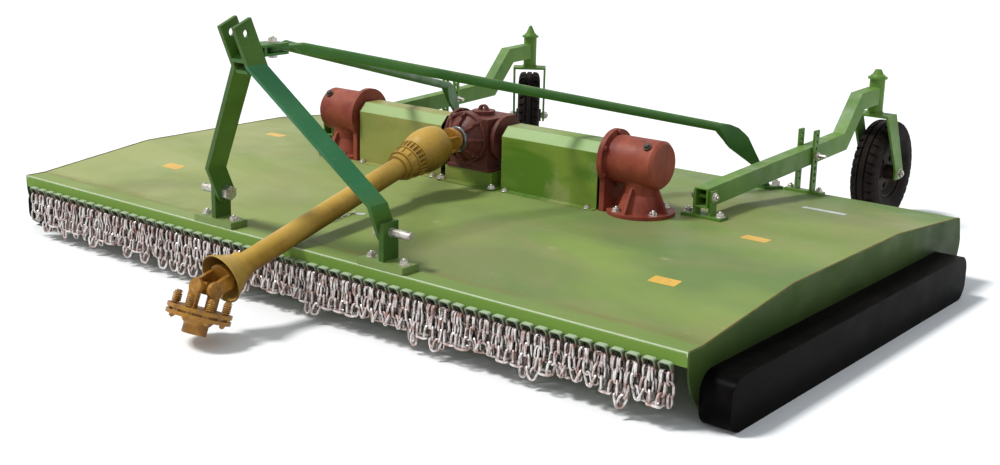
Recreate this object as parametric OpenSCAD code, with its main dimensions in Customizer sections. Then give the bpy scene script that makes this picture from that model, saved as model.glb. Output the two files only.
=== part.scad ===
// Tractor-mounted chain mower: a wide steel deck with two rotors, a front chain curtain and two rear castors.
// Millimetres. +X is right as seen from the hitch, +Y runs to the rear and +Z is up, with the ground at z = 0.
// Inside the modules y = 0 is the deck's front edge. seated() then centres the whole machine on y = 0.

/* [Deck] */
// Half the width of the deck, to the side plates' outer faces
deck_half_w = 1540; // [1500:5:1600]
// Depth of the deck from its front edge to its rear edge
deck_d = 1922; // [1900:1:1960]
// Thickness of the deck, side and skirt sheet
sheet_t = 5; // [4:0.5:8]
// Depth of the flat front lip
lip_d = 79; // [76:1:90]
// Height of the front lip above the ground
lip_z = 238; // [232:1:245]
// Depth of the front face under the lip
face_h = 44; // [40:1:50]
// Distance from the front edge to the flat crown
crown_y = 597; // [560:1:640]
// Distance from the front edge to the end of the flat crown
crown_end_y = 1367; // [1300:1:1420]
// Height of the flat crown above the ground
crown_z = 297; // [290:1:304]
// Height of the deck's rear edge
rear_z = 249; // [244:1:256]
// Height of the rear skirt plate
skirt_h = 95; // [70:1:120]
// Leg of the angle stiffeners under the deck
stiffener_w = 50; // [40:1:60]

/* [Skids] */
// Width of a skid outside its side plate
skid_w = 100; // [80:1:130]
// Height of a skid
skid_h = 164; // [150:1:170]
// Distance from the deck's front edge to the skid's front face
skid_y = 65; // [40:1:90]
// Length of a skid
skid_l = 1698; // [1600:1:1760]
// Plate thickness of a skid
skid_t = 8; // [6:0.5:12]

/* [Chain curtain] */
// Number of loops along the front face
loop_count = 57; // [41:2:61]
// Spacing of the loops
loop_pitch = 52.6; // [46:0.1:52.6]
// Outer width of a loop
loop_w = 42; // [34:1:44]
// Height of a loop below the front face
loop_h = 28; // [24:1:32]
// Thickness of a loop's strap
loop_bar = 5; // [4:0.5:7]
// Front to rear width of a loop's strap
loop_d = 13; // [10:0.5:13]
// Outer length of a curtain link
link_l = 52; // [48:1:56]
// Outer width of a curtain link
link_w = 32; // [28:1:36]
// Wire thickness of a curtain link
link_wire = 9; // [7:0.5:10]

/* [Hitch] */
// Distance between the two lugs' outer faces
lug_span = 825; // [800:1:860]
// Thickness of a lug and the width of its slot seat
lug_t = 20; // [16:1:24]
// Front to rear width of a lug
lug_w = 70; // [64:1:76]
// Height of a lug above its foot plates
lug_h = 127; // [124:1:150]
// Thickness of each of the two foot plates under a lug
foot_t = 12; // [8:1:14]
// Length of a lug's foot plates along the deck
foot_l = 195; // [150:1:230]
// Diameter of a lower hitch pin outside its lug
pin_d = 28; // [22:1:28]
// Diameter of a lower pin's shank inside its lug and leg
shank_d = 30; // [30:1:34]
// Free length of a lower hitch pin outside its lug
pin_free = 84.5; // [70:0.5:100]
// Distance of the lower pins behind the deck's front edge
pin_y = 46; // [42:1:48]
// Height of the lower pins
pin_z = 354; // [348:1:358]
// Height of the top link hole above the lower pins
mast_h = 612; // [580:1:640]
// Forward lean of the mast in degrees
mast_lean = 22.5; // [15:0.5:28]
// Width of the mast's flat bar
bar_w = 75; // [65:1:85]
// Thickness of the mast's flat bar
bar_t = 14; // [12:0.5:16]
// Gap between the two bars at the top link hole
top_gap = 52; // [46:1:60]
// Diameter of the top link hole
top_hole_d = 26; // [22:0.5:28]
// Height of the mast's lower bend above the lower pins
bend_low = 92; // [80:1:120]
// Height of the mast's upper bend above the lower pins
bend_high = 503; // [460:1:520]

/* [Stays] */
// Outer diameter of a stay pipe
stay_d = 35; // [30:1:42]
// Height of the bolt that holds the stays to the mast
stay_top_z = 906; // [890:1:915]
// Distance from the mast's bar to the stay bolt
stay_reach = 76; // [70:1:90]
// Sideways distance of a stay's foot bolt
stay_foot_x = 806; // [790:1:815]
// Distance of a stay's foot in front of the deck's rear edge
stay_foot_in = 84; // [80:1:120]
// Height of the rear end of a stay's pipe
stay_bend_z = 526; // [500:1:540]

/* [Gearboxes] */
// Sideways distance of a rotor's axis
rotor_x = 727; // [715:1:740]
// Distance of the rotors and cross shafts behind the front edge
rotor_y = 1000; // [985:1:1015]
// Height of the cross shafts' axis
cross_z = 480; // [472:1:488]
// Radius of a side gearbox's foot flange
gear_foot_r = 122; // [112:1:130]
// Radius of a side gearbox's barrel
barrel_r = 86; // [80:1:92]
// Half the width of the centre gearbox between its side flanges
centre_half_w = 122; // [116:1:126]
// Half the width of the green pedestal
pedestal_half_w = 115; // [105:1:120]
// Height of the green pedestal
pedestal_h = 61; // [55:1:68]
// Distance of a shaft cover's inner end from the middle
cover_x0 = 150; // [145:1:160]
// Distance of a shaft cover's outer end from the middle
cover_x1 = 586; // [570:1:592]
// Height of a shaft cover above the deck
cover_h = 240; // [232:1:245]
// Front to rear depth of a shaft cover
cover_d = 148; // [136:1:160]
// Width of a shaft cover's chamfer
cover_chamfer = 34; // [26:1:40]

/* [Rotors] */
// Clearance between a turning carrier bar and the side plate
carrier_clear = 198; // [120:1:240]
// Width of a rotor's carrier bar
carrier_w = 110; // [90:1:130]
// Thickness of a rotor's carrier bar
carrier_t = 16; // [12:1:20]
// Height of the carrier bar's underside
carrier_z = 176; // [172:1:184]
// Outer length of a cutting link
cutter_l = 64; // [58:1:66]
// Outer width of a cutting link
cutter_w = 44; // [40:1:48]
// Wire thickness of a cutting link
cutter_wire = 12; // [10:0.5:13]

/* [Castors] */
// Sideways distance of a castor arm from the middle
arm_x = 924; // [916:1:934]
// Outer width of the arm's tube
arm_w = 52; // [46:1:58]
// Outer height of the arm's tube
arm_h = 70; // [64:1:74]
// Wall of the arm's tube
arm_t = 5; // [4:0.5:6]
// Distance of the arm's pivot bolt behind the front edge
pivot_y = 1107; // [1095:1:1120]
// Height of the arm's pivot bolt
pivot_z = 373; // [368:1:380]
// Distance of the height bars in front of the deck's rear edge
bars_in = 38; // [34:1:48]
// Front to rear width of a height bar
height_bar_w = 38; // [34:1:42]
// Thickness of a height bar
height_bar_t = 9; // [8:0.5:10]
// Height of the top of the height bars
bars_z = 505; // [500:1:515]
// Spacing of the holes in the height bars
hole_pitch = 26; // [24:0.5:28]
// Distance of the castor posts behind the front edge
castor_y = 2492; // [2480:1:2510]
// Height of the lower end of the castor sleeve
sleeve_z = 500; // [494:1:506]
// Length of the castor sleeve
sleeve_h = 148; // [142:1:156]
// Outer radius of the castor sleeve
sleeve_r = 32; // [30:1:34]
// Radius of the castor post
post_r = 20; // [18:1:22]
// Trail of a castor wheel behind its post
trail = 130; // [126:1:136]
// Outer radius of a tyre
tyre_r = 222; // [212:1:223]
// Width of a tyre
tyre_w = 112; // [104:1:120]
// Radius of the rim's seat
rim_r = 112; // [104:1:120]
// Turn of the left castor at rest, in degrees
left_turn = 37; // [0:1:60]

/* [Drive shaft] */
// Distance from the gearboxes' axis forward to the drive shaft's rear joint
joint_reach = 268; // [260:1:272]
// Droop of the drive shaft at rest, in degrees
droop = 15.6; // [15:0.1:15.7]
// Length between the two universal joints, closed
shaft_l = 1140; // [1120:1:1160]
// Outer radius of the outer guard tube
guard_r = 38; // [36:0.5:39]
// Wall of the guard tubes
guard_t = 3; // [2.5:0.5:4]
// Widest radius of the gearbox end's guard bell
bell_r = 80; // [77:1:84]
// Rim radius of the tractor end's guard bell
front_bell_r = 84; // [80:1:86]
// Angle of the clutch below the horizontal at rest, in degrees
clutch_droop = 68; // [65:0.5:70]
// Radius of the friction clutch's plates
clutch_r = 104; // [96:1:106]
// Radius of the splined hole in the clutch hub
spline_r = 17.5; // [16:0.1:20]
// Distance of the clutch hub's end from the front joint
hub_end = 148; // [140:1:152]

/* [Hidden] */
$fn = 48;

steel_green = [0.35, 0.5, 0.2];
mast_green = [0.12, 0.42, 0.28];
stay_green = [0.12, 0.35, 0.14];
primer_red = [0.55, 0.22, 0.18];
guard_ochre = [0.72, 0.57, 0.2];
joint_gold = [0.72, 0.45, 0.1];
skid_black = [0.07, 0.07, 0.07];
chain_grey = [0.62, 0.57, 0.57];
zinc = [0.7, 0.7, 0.68];
dark_steel = [0.25, 0.24, 0.23];
tyre_black = [0.13, 0.11, 0.1];

gap = 0.3;
running = 0.1;
// Radius of the gearboxes' shaft bores
shaft_r = 24;
inner_x = deck_half_w - sheet_t;
carrier_r = inner_x - rotor_x - carrier_clear;
stay_foot_y = deck_d - stay_foot_in;
bars_y = deck_d - bars_in;
joint_y = rotor_y - joint_reach;
// Distances from the drive shaft's rear joint to the gearbox's nose and from the gearboxes' axis to their faces
gear_nose = 108;
gear_half_d = 88;
side_face = 127;
// Distances of the castor arm's two bends in front of its post
arm_low_bend = 321;
arm_high_bend = 181;
washer_t = 1.5;
deck_line = [[0, lip_z], [lip_d, lip_z], [crown_y, crown_z], [crown_end_y, crown_z], [deck_d, rear_z]];
rear_slope = atan((crown_z - rear_z) / (deck_d - crown_end_y));
foot_top = lip_z + 2 * foot_t;
lug_in = lug_span / 2 - lug_t;
leg_x = lug_in - gap - bar_t / 2;
top_x = (top_gap + bar_t) / 2;
mast_fall = mast_h * tan(mast_lean);
top_y = pin_y - mast_fall;
top_z = pin_z + mast_h;
joint_z = cross_z + 3;
joint2_y = joint_y - shaft_l * cos(droop);
joint2_z = joint_z - shaft_l * sin(droop);
// Where the yokes' flanges, the clutch's plates and the guard bells sit, measured along the shaft from its joint
yoke_l = 66;
ear_in = 34;
ear_t = 14;
cross_r = 14;
plate_pack = 32;
neck_s = shaft_l - 155;
rim_s = shaft_l - 62;
inner_tube_s = shaft_l - 580;
rod_s = shaft_l - 720;
front_y = joint2_y - (yoke_l + plate_pack) * cos(clutch_droop) - clutch_r * sin(clutch_droop);
rear_y = castor_y + trail + tyre_r;
mid_y = (front_y + rear_y) / 2;

function deck_z(y) = lookup(y, deck_line);
function mast_y(z) = pin_y - (z - pin_z) * tan(mast_lean);
function mast_rear(z) = mast_y(z) + bar_w / 2 / cos(mast_lean);
function unit(v) = v / norm(v);
function perp(v) = [-v[1], v[0]];
function run(p, i) = unit(p[min(i + 1, len(p) - 1)] - p[min(i, len(p) - 2)]);
// Side step at corner i of a strip's centre line, mitred between the runs before and after it
function miter(p, i, h) =
    let (a = run(p, max(i - 1, 0)), b = run(p, i), m = unit(perp(a) + perp(b))) m * h / (m * perp(a));
function strip(p, h) = concat(
    [for (i = [0 : len(p) - 1]) p[i] + miter(p, i, h)],
    [for (i = [len(p) - 1 : -1 : 0]) p[i] - miter(p, i, h)]
);

module seated() {
    translate([0, -mid_y, 0]) children();
}

// A profile drawn in (y, z), extruded from x0 to x1
module along_x(x0, x1) {
    translate([x0, 0, 0]) rotate([90, 0, 90]) linear_extrude(x1 - x0) children();
}

module both_sides() {
    children();
    mirror([1, 0, 0]) children();
}

module rod_x(x0, x1, y, z, r) {
    translate([x0, y, z]) rotate([0, 90, 0]) cylinder(r = r, h = x1 - x0);
}

module rod_y(y0, y1, x, z, r) {
    translate([x, y0, z]) rotate([-90, 0, 0]) cylinder(r = r, h = y1 - y0);
}

module block(x0, x1, y0, y1, z0, z1) {
    translate([x0, y0, z0]) cube([x1 - x0, y1 - y0, z1 - z0]);
}

// Hexagon head or nut across the flats, standing on z = 0
module hex_head(flats, h) {
    cylinder(r = flats / sqrt(3), h = h, $fn = 6);
}

// A rectangle with one radius for its front corners and one for its rear corners
module skid_outline(y0, y1, z0, z1, r0, r1) {
    translate([y0 + r0, z0 + r0]) circle(r0);
    translate([y0 + r0, z1 - r0]) circle(r0);
    translate([y1 - r1, z0 + r1]) circle(r1);
    translate([y1 - r1, z1 - r1]) circle(r1);
    translate([y0 + r0, z0]) square([y1 - y0 - r0 - r1, z1 - z0]);
    translate([y0, z0 + r0]) square([r0, z1 - z0 - 2 * r0]);
    translate([y1 - r1, z0 + r1]) square([r1, z1 - z0 - 2 * r1]);
}

// Frame at the gearbox joint, with z running along the drooping shaft to the tractor
module at_joint() {
    translate([0, joint_y, joint_z]) rotate([90 + droop, 0, 0]) children();
}

module at_clutch() {
    translate([0, joint2_y, joint2_z]) rotate([90 + clutch_droop, 0, 0]) children();
}

module at_post(side) {
    translate([side * arm_x, castor_y, 0]) rotate([0, 0, side < 0 ? left_turn : 0]) children();
}

/* Deck and skids */

module deck() {
    top = concat([[0, lip_z - face_h]], deck_line);
    under = [
        for (i = [len(deck_line) - 1 : -1 : 1]) deck_line[i] - [0, sheet_t],
        [sheet_t, lip_z - sheet_t],
        [sheet_t, lip_z - face_h]
    ];
    color(steel_green) difference() {
        along_x(-inner_x, inner_x) polygon(concat(top, under));
        for (side = [-1, 1])
            translate([side * rotor_x, rotor_y, crown_z - 2 * sheet_t]) cylinder(r = 48, h = 3 * sheet_t);
    }
}

module side_plates() {
    front_r = 185;
    rear_r = 150;
    tail = 24;
    low_z = 15;
    back = deck_d + tail;
    color(steel_green) both_sides() along_x(inner_x, deck_half_w) intersection() {
        polygon(concat(deck_line, [[back, low_z + rear_r], [back, 0], [0, 0]]));
        union() {
            translate([front_r, low_z + front_r]) circle(front_r);
            translate([back - rear_r, low_z + rear_r]) circle(rear_r);
            translate([front_r, low_z]) square([back - front_r - rear_r, crown_z]);
            translate([0, low_z + front_r]) square([front_r, crown_z]);
            translate([back - rear_r, low_z + rear_r]) square([rear_r, crown_z]);
        }
    }
}

module rear_skirt() {
    lean = 18;
    color(steel_green) along_x(-inner_x, inner_x) polygon([
        [deck_d - sheet_t, deck_z(deck_d - sheet_t) - sheet_t],
        [deck_d, rear_z - sheet_t],
        [deck_d + lean, rear_z - sheet_t - skirt_h],
        [deck_d + lean - sheet_t, rear_z - sheet_t - skirt_h]
    ]);
}

module deck_stiffeners() {
    top = crown_z - sheet_t;
    color(steel_green) for (y = [crown_y + 25, crown_end_y - 25 - stiffener_w]) {
        block(-inner_x, inner_x, y, y + sheet_t, top - stiffener_w, top);
        block(-inner_x, inner_x, y + sheet_t, y + stiffener_w, top - sheet_t, top);
    }
}

module skids() {
    end_y = skid_y + skid_l;
    outer_x = deck_half_w + skid_w;
    nose_r = 62;
    tail_r = 60;
    color(skid_black) both_sides() {
        along_x(deck_half_w, outer_x - skid_t) difference() {
            skid_outline(skid_y, end_y, 0, skid_h, nose_r, tail_r);
            skid_outline(
                skid_y + skid_t, end_y - skid_t, skid_t, skid_h - skid_t, nose_r - skid_t, tail_r - skid_t
            );
        }
        along_x(outer_x - skid_t, outer_x) skid_outline(skid_y, end_y, 0, skid_h, nose_r, tail_r);
    }
}

/* Chain curtain */

// Every third strand is one link shorter, as chains that have bunched up
function strand_links(i) = i % 3 == 1 ? 2 : 3;
function loop_x(i) = (i - (loop_count - 1) / 2) * loop_pitch;
loop_y = 3 - loop_d / 2;

// One link in the xz plane, its top bar resting at z = 0 with its hole below
module link(l, w, wire) {
    translate([0, wire / 2, 0]) rotate([90, 0, 0]) linear_extrude(wire) difference() {
        translate([-w / 2, wire - l]) square([w, l]);
        translate([wire - w / 2, 2 * wire - l]) square([w - 2 * wire, l - 2 * wire]);
    }
}

// A hanging strand, each link turned a quarter from the last
module strand(count, l, w, wire) {
    for (k = [0 : count - 1])
        translate([0, 0, -k * (l - 2 * wire - gap)]) rotate([0, 0, k % 2 == 0 ? 90 : 0]) link(l, w, wire);
}

module chain_loops() {
    half = loop_w / 2;
    color(steel_green) for (i = [0 : loop_count - 1])
        translate([loop_x(i), loop_y + loop_d / 2, lip_z - face_h]) rotate([90, 0, 0]) linear_extrude(loop_d) difference() {
            polygon([[-half, 0], [-half, loop_bar - loop_h], [loop_bar - half, -loop_h],
                [half - loop_bar, -loop_h], [half, loop_bar - loop_h], [half, 0]]);
            translate([loop_bar - half, loop_bar - loop_h]) square([loop_w - 2 * loop_bar, loop_h - 2 * loop_bar]);
        }
}

module chain_curtain() {
    seat = lip_z - face_h - loop_h + loop_bar + gap;
    color(chain_grey) for (i = [0 : loop_count - 1])
        translate([loop_x(i), loop_y, seat]) strand(strand_links(i), link_l, link_w, link_wire);
}

/* Hitch and mast */

module leg_side() {
    translate([pin_y, pin_z]) rotate(mast_lean) {
        circle(bar_w / 2);
        translate([-bar_w / 2, 0]) square([bar_w, mast_h / cos(mast_lean) + 37]);
    }
}

module mast_legs() {
    front = [[leg_x, pin_z - bar_w], [leg_x, pin_z + bend_low], [top_x, pin_z + bend_high], [top_x, top_z + bar_w]];
    color(mast_green) both_sides() difference() {
        intersection() {
            along_x(0, lug_span / 2) leg_side();
            translate([0, pin_y + bar_w, 0]) rotate([90, 0, 0]) linear_extrude(2 * bar_w + mast_h)
                polygon(strip(front, bar_t / 2));
        }
        rod_x(0, lug_span, pin_y, pin_z, shank_d / 2 + running);
        rod_x(0, lug_span, top_y, top_z, top_hole_d / 2);
    }
}

module mast_spacers() {
    half = top_gap / 2;
    color(stay_green) for (up = [bend_high - 6, bend_high + 30])
        translate([0, mast_y(pin_z + up), pin_z + up]) rotate([mast_lean, 0, 0])
            block(-half, half, -bar_w / 2, bar_w / 2, 0, 12);
}

module hitch_lugs() {
    y0 = pin_y - lug_w / 2 - 4;
    color(steel_green) both_sides() {
        difference() {
            block(lug_in, lug_in + lug_t, y0, y0 + lug_w, foot_top, foot_top + lug_h);
            rod_x(lug_in - 1, lug_in + lug_t + 1, pin_y, pin_z, shank_d / 2 + running);
        }
        mid = lug_in + lug_t / 2;
        block(mid - foot_l / 2, mid + foot_l / 2, 0, 75, lip_z, foot_top);
        for (dx = [-0.36, 0.36]) translate([mid + dx * foot_l, 38, foot_top]) hex_head(24, 13);
    }
}

module hitch_pins() {
    out = lug_in + lug_t;
    color(zinc) both_sides() {
        difference() {
            union() {
                rod_x(leg_x - bar_t / 2 - 30, out, pin_y, pin_z, shank_d / 2);
                rod_x(out - 1, out + pin_free, pin_y, pin_z, pin_d / 2);
                translate([leg_x - bar_t / 2 - gap - 26, pin_y, pin_z]) rotate([0, 90, 0]) hex_head(46, 26);
            }
            translate([out + pin_free - 14, pin_y, pin_z - pin_d]) cylinder(r = 5, h = 2 * pin_d);
        }
    }
}

module stay_bracket() {
    bolt_y = mast_rear(stay_top_z) + stay_reach;
    half = top_x + bar_t / 2;
    plate = 8;
    low = stay_top_z - 10 - plate;
    high = stay_top_z + 10;
    color(stay_green) {
        for (z = [low, high]) block(-half, half, mast_rear(z) + gap, bolt_y + 32, z, z + plate);
        block(-half, half, mast_rear(low) + gap, mast_rear(low) + 10, low + plate, high);
    }
    color(zinc) {
        translate([0, bolt_y, stay_top_z - 18 - 12]) hex_head(24, 12);
        translate([0, bolt_y, stay_top_z - 18]) cylinder(r = 8, h = 46);
        translate([0, bolt_y, stay_top_z + 18]) hex_head(24, 14);
    }
}

// One stay on the right. Its front end is crushed flat under or over the other's, its rear end is crushed upright.
module stay(flat_z) {
    bolt = [0, mast_rear(stay_top_z) + stay_reach];
    foot = [stay_foot_x, stay_foot_y];
    turn = atan2(foot[0] - bolt[0], foot[1] - bolt[1]);
    reach = norm(foot - bolt);
    pipe_y = 102;
    pipe_z = stay_top_z - 4;
    pipe_end = reach - 290;
    fall = atan((pipe_z - stay_bend_z) / (pipe_end - pipe_y));
    pipe_r = stay_d / 2;
    foot_z = deck_z(stay_foot_y);
    flat_t = 9;
    translate([bolt[0], bolt[1], 0]) rotate([0, 0, -turn]) {
        difference() {
            union() {
                hull() {
                    translate([0, 0, flat_z]) cylinder(r = 27, h = flat_t, $fn = 32);
                    translate([-27, 40, flat_z]) cube([54, 27, flat_t]);
                }
                hull() {
                    translate([-27, 66, flat_z]) cube([54, 1, flat_t]);
                    translate([0, pipe_y - 2, pipe_z]) rotate([-90 - fall, 0, 0])
                        cylinder(r = pipe_r, h = 4, $fn = 32);
                }
            }
            translate([0, 0, flat_z - 5]) cylinder(r = 8 + gap, h = 25);
        }
        translate([0, pipe_y, pipe_z]) rotate([-90 - fall, 0, 0])
            cylinder(r = pipe_r, h = norm([pipe_end - pipe_y, pipe_z - stay_bend_z]));
        hull() {
            translate([0, pipe_end - 3, stay_bend_z]) rotate([-90 - fall, 0, 0])
                cylinder(r = pipe_r, h = 3, $fn = 32);
            translate([-6, reach - 240, stay_bend_z - 72]) cube([12, 4, 78]);
        }
        translate([0, reach, 0]) along_x(-6, 6) polygon([
            [-245, stay_bend_z + 7], [-231, stay_bend_z + 5], [-193, stay_bend_z - 10], [-160, stay_bend_z - 34],
            [-141, stay_bend_z - 51], [-72, stay_bend_z - 159], [-13, foot_z + 8], [-50, foot_z + 8],
            [-109, stay_bend_z - 165], [-224, stay_bend_z - 89], [-245, stay_bend_z - 69]
        ]);
    }
    translate([foot[0], foot[1], foot_z]) rotate([-rear_slope, 0, 0]) rotate([0, 0, -turn]) {
        block(-24, 24, -56, 36, 0, 12);
        translate([0, 16, 12]) hex_head(26, 18);
    }
}

module stays() {
    color(stay_green) {
        stay(stay_top_z + gap);
        mirror([1, 0, 0]) stay(stay_top_z - 9 - gap);
    }
}

/* Gearboxes and covers */

module pedestal() {
    half_d = 88;
    t = 6;
    color(steel_green) difference() {
        union() {
            block(-pedestal_half_w, pedestal_half_w, rotor_y - half_d, rotor_y + half_d, crown_z, crown_z + pedestal_h);
            block(-pedestal_half_w - 25, pedestal_half_w + 25, rotor_y - half_d - 25, rotor_y + half_d + 25,
                crown_z, crown_z + t);
            for (x = [-1, 1], y = [-1, 1])
                translate([x * (pedestal_half_w + 10), rotor_y + y * (half_d + 12), crown_z + t]) hex_head(24, 12);
        }
        block(t - pedestal_half_w, pedestal_half_w - t, rotor_y - half_d + t, rotor_y + half_d - t,
            crown_z - 1, crown_z + pedestal_h - t);
    }
}

module centre_gearbox() {
    base = crown_z + pedestal_h;
    front = joint_y + gear_nose;
    body_y = rotor_y - gear_half_d;
    color(primer_red) difference() {
        union() {
            block(-92, 92, body_y, rotor_y + gear_half_d - 4, base + 10, cross_z + 78);
            block(-104, 104, body_y - 4, rotor_y + gear_half_d, base, base + 12);
            rod_x(-centre_half_w, centre_half_w, rotor_y, cross_z, 76);
            for (x = [-centre_half_w, centre_half_w - 16]) rod_x(x, x + 16, rotor_y, cross_z, 88);
            rod_y(body_y - 14, body_y, 0, joint_z, 98);
            translate([0, body_y - 14, joint_z]) rotate([90, 0, 0]) cylinder(r1 = 92, r2 = 52, h = 42);
            rod_y(front, body_y, 0, joint_z, 46);
            for (a = [0 : 45 : 315])
                translate([0, body_y - 14, joint_z]) rotate([0, a, 0]) rotate([90, 0, 0])
                    translate([-4, 0, -2]) cube([8, 90, 34]);
            for (a = [22.5 : 45 : 337.5])
                translate([0, body_y - 14, joint_z]) rotate([0, a, 0]) translate([86, 0, 0])
                    rotate([90, 0, 0]) hex_head(17, 9);
            translate([0, rotor_y, cross_z + 78]) cylinder(r = 44, h = 16);
            translate([0, rotor_y - 8, cross_z + 94]) rotate([-90, 0, 0]) difference() {
                cylinder(r = 22, h = 14);
                translate([0, -6, -1]) cylinder(r = 9, h = 16);
            }
            for (side = [-1, 1], a = [0 : 60 : 300])
                translate([side * (centre_half_w - 16), rotor_y, cross_z]) rotate([a, 0, 0]) translate([0, 0, 80])
                    rotate([0, -90 * side, 0]) hex_head(15, 8);
        }
        rod_x(-centre_half_w - 1, -centre_half_w + 20, rotor_y, cross_z, shaft_r);
        rod_x(centre_half_w - 20, centre_half_w + 1, rotor_y, cross_z, shaft_r);
        rod_y(front - 1, front + 30, 0, joint_z, shaft_r);
        translate([0, rotor_y, base - 1]) cylinder(r = 40, h = 3);
    }
}

// The right gearbox: a foot flange, a ribbed neck and a barrel with a flat inner flange
module side_gearbox() {
    inner = rotor_x - side_face;
    plate = 20;
    cap_x = rotor_x + 84;
    color(primer_red) difference() {
        union() {
            translate([rotor_x, rotor_y, crown_z]) {
                cylinder(r = gear_foot_r, h = 13);
                translate([0, 0, 13]) cylinder(r1 = 84, r2 = 62, h = 60);
                cylinder(r = 60, h = cross_z - crown_z);
                for (a = [45 : 90 : 315]) rotate([0, 0, a + 15]) translate([96, 0, 13]) hex_head(24, 12);
                for (a = [0 : 90 : 270]) rotate([90, 0, a]) translate([0, 0, -5]) linear_extrude(10)
                    polygon([[0, 10], [112, 10], [70, 96], [0, 120]]);
            }
            rod_x(inner + plate, cap_x - 8, rotor_y, cross_z, barrel_r);
            translate([cap_x - 8, rotor_y, cross_z]) rotate([0, 90, 0]) cylinder(r1 = barrel_r, r2 = barrel_r - 9, h = 10);
            rod_x(inner, inner + plate, rotor_y, cross_z, barrel_r + 19);
            block(inner, inner + plate, rotor_y - 78, rotor_y + 78, crown_z, cross_z);
            for (a = [0 : 60 : 300])
                translate([inner + plate, rotor_y, cross_z]) rotate([a, 0, 0]) translate([0, 0, barrel_r + 9])
                    rotate([0, 90, 0]) hex_head(15, 9);
            translate([cap_x - 34, rotor_y, cross_z]) rotate([38, 0, 0]) translate([0, 0, barrel_r - 6]) {
                cylinder(r = 15, h = 12);
                translate([0, 0, 12]) hex_head(17, 9);
            }
        }
        rod_x(inner - 1, inner + 40, rotor_y, cross_z, shaft_r);
        translate([rotor_x, rotor_y, crown_z - 1]) cylinder(r = 31, h = 80);
    }
}

module side_gearbox_right() {
    side_gearbox();
}

module side_gearbox_left() {
    mirror([1, 0, 0]) side_gearbox();
}

module cover_outline(inset) {
    y0 = rotor_y - cover_d / 2;
    y1 = rotor_y + cover_d / 2;
    top = crown_z + cover_h;
    polygon([
        [y0 + inset, crown_z - (inset > 0 ? 1 : 0)], [y0 + inset, top - cover_chamfer],
        [y0 + cover_chamfer, top - inset], [y1 - cover_chamfer, top - inset],
        [y1 - inset, top - cover_chamfer], [y1 - inset, crown_z - (inset > 0 ? 1 : 0)]
    ]);
}

module shaft_covers() {
    t = 3;
    flange = 26;
    color(steel_green) both_sides() {
        along_x(cover_x0, cover_x1) difference() {
            cover_outline(0);
            cover_outline(t);
        }
        for (y = [rotor_y - cover_d / 2 - flange, rotor_y + cover_d / 2])
            block(cover_x0, cover_x1, y, y + flange, crown_z, crown_z + t);
        for (x = [cover_x0 + 30, cover_x1 - 30], y = [-1, 1])
            translate([x, rotor_y + y * (cover_d / 2 + flange / 2 + 2), crown_z + t]) hex_head(17, 9);
    }
}

module cross_shafts() {
    color(dark_steel) both_sides() {
        rod_x(centre_half_w - 18, rotor_x - side_face + 36, rotor_y, cross_z, shaft_r - running);
        for (x = [centre_half_w + 32, rotor_x - side_face - 46]) rod_x(x, x + 34, rotor_y, cross_z, 34);
    }
}

/* Rotors */

// Turned about z so that the two carrier bars stand a quarter turn apart
module at_rotor(side) {
    translate([side * rotor_x, rotor_y, 0]) rotate([0, 0, side < 0 ? 90 : 0]) children();
}

cutter_seat = carrier_z - 16;
cutter_x = carrier_r - 30;

module rotor(side) {
    color(dark_steel) at_rotor(side) {
        block(-carrier_r, carrier_r, -carrier_w / 2, carrier_w / 2, carrier_z, carrier_z + carrier_t);
        translate([0, 0, carrier_z + carrier_t]) {
            cylinder(r = 110, h = 12);
            cylinder(r = 44, h = crown_z - sheet_t - 8 - carrier_z - carrier_t);
            cylinder(r = 31 - running, h = crown_z + 70 - carrier_z - carrier_t);
        }
        translate([0, 0, carrier_z - 14]) cylinder(r = 60, h = 14);
        for (x = [-cutter_x, cutter_x]) translate([x, 0, 0]) {
            block(-22, 22, -27, -15, cutter_seat - 12, carrier_z);
            block(-22, 22, 15, 27, cutter_seat - 12, carrier_z);
            rotate([0, 0, 90]) rod_x(-15, 15, 0, cutter_seat - 6, 6);
        }
    }
}

module rotor_right() {
    rotor(1);
}

module rotor_left() {
    rotor(-1);
}

module cutting_chains(side) {
    color(chain_grey) at_rotor(side) for (x = [-cutter_x, cutter_x])
        translate([x, 0, cutter_seat + gap]) rotate([0, 0, 90]) strand(3, cutter_l, cutter_w, cutter_wire);
}

module cutting_chains_right() {
    cutting_chains(1);
}

module cutting_chains_left() {
    cutting_chains(-1);
}

/* Castor arms */

arm_path = [
    [pivot_y - 30, pivot_z - 2], [castor_y - arm_low_bend, pivot_z + 45], [castor_y - arm_high_bend, pivot_z + 193],
    [castor_y - sleeve_r + 4, pivot_z + 198]
];
function arm_mid_z(y) = lookup(y, [arm_path[0], arm_path[1]]);

module castor_arm(side) {
    cap_z = sleeve_z + sleeve_h;
    color(steel_green) translate([side * arm_x, 0, 0]) difference() {
        union() {
            difference() {
                along_x(-arm_w / 2, arm_w / 2) polygon(strip(arm_path, arm_h / 2));
                along_x(arm_t - arm_w / 2, arm_w / 2 - arm_t) polygon(strip([
                    arm_path[0] - [1, 0], arm_path[1], arm_path[2], arm_path[3] + [1, 0]
                ], arm_h / 2 - arm_t));
            }
            translate([0, castor_y, sleeve_z]) cylinder(r = sleeve_r, h = sleeve_h);
            translate([0, castor_y, cap_z - 8]) cylinder(r = sleeve_r + 9, h = 8);
        }
        rod_x(-arm_w, arm_w, pivot_y, arm_mid_z(pivot_y), 8 + running);
        rod_x(-arm_w, arm_w, bars_y, arm_mid_z(bars_y), 8 + running);
        translate([0, castor_y, sleeve_z - 1]) cylinder(r = post_r + running, h = sleeve_h + 2);
    }
}

module castor_arm_right() {
    castor_arm(1);
}

module castor_arm_left() {
    castor_arm(-1);
}

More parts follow.
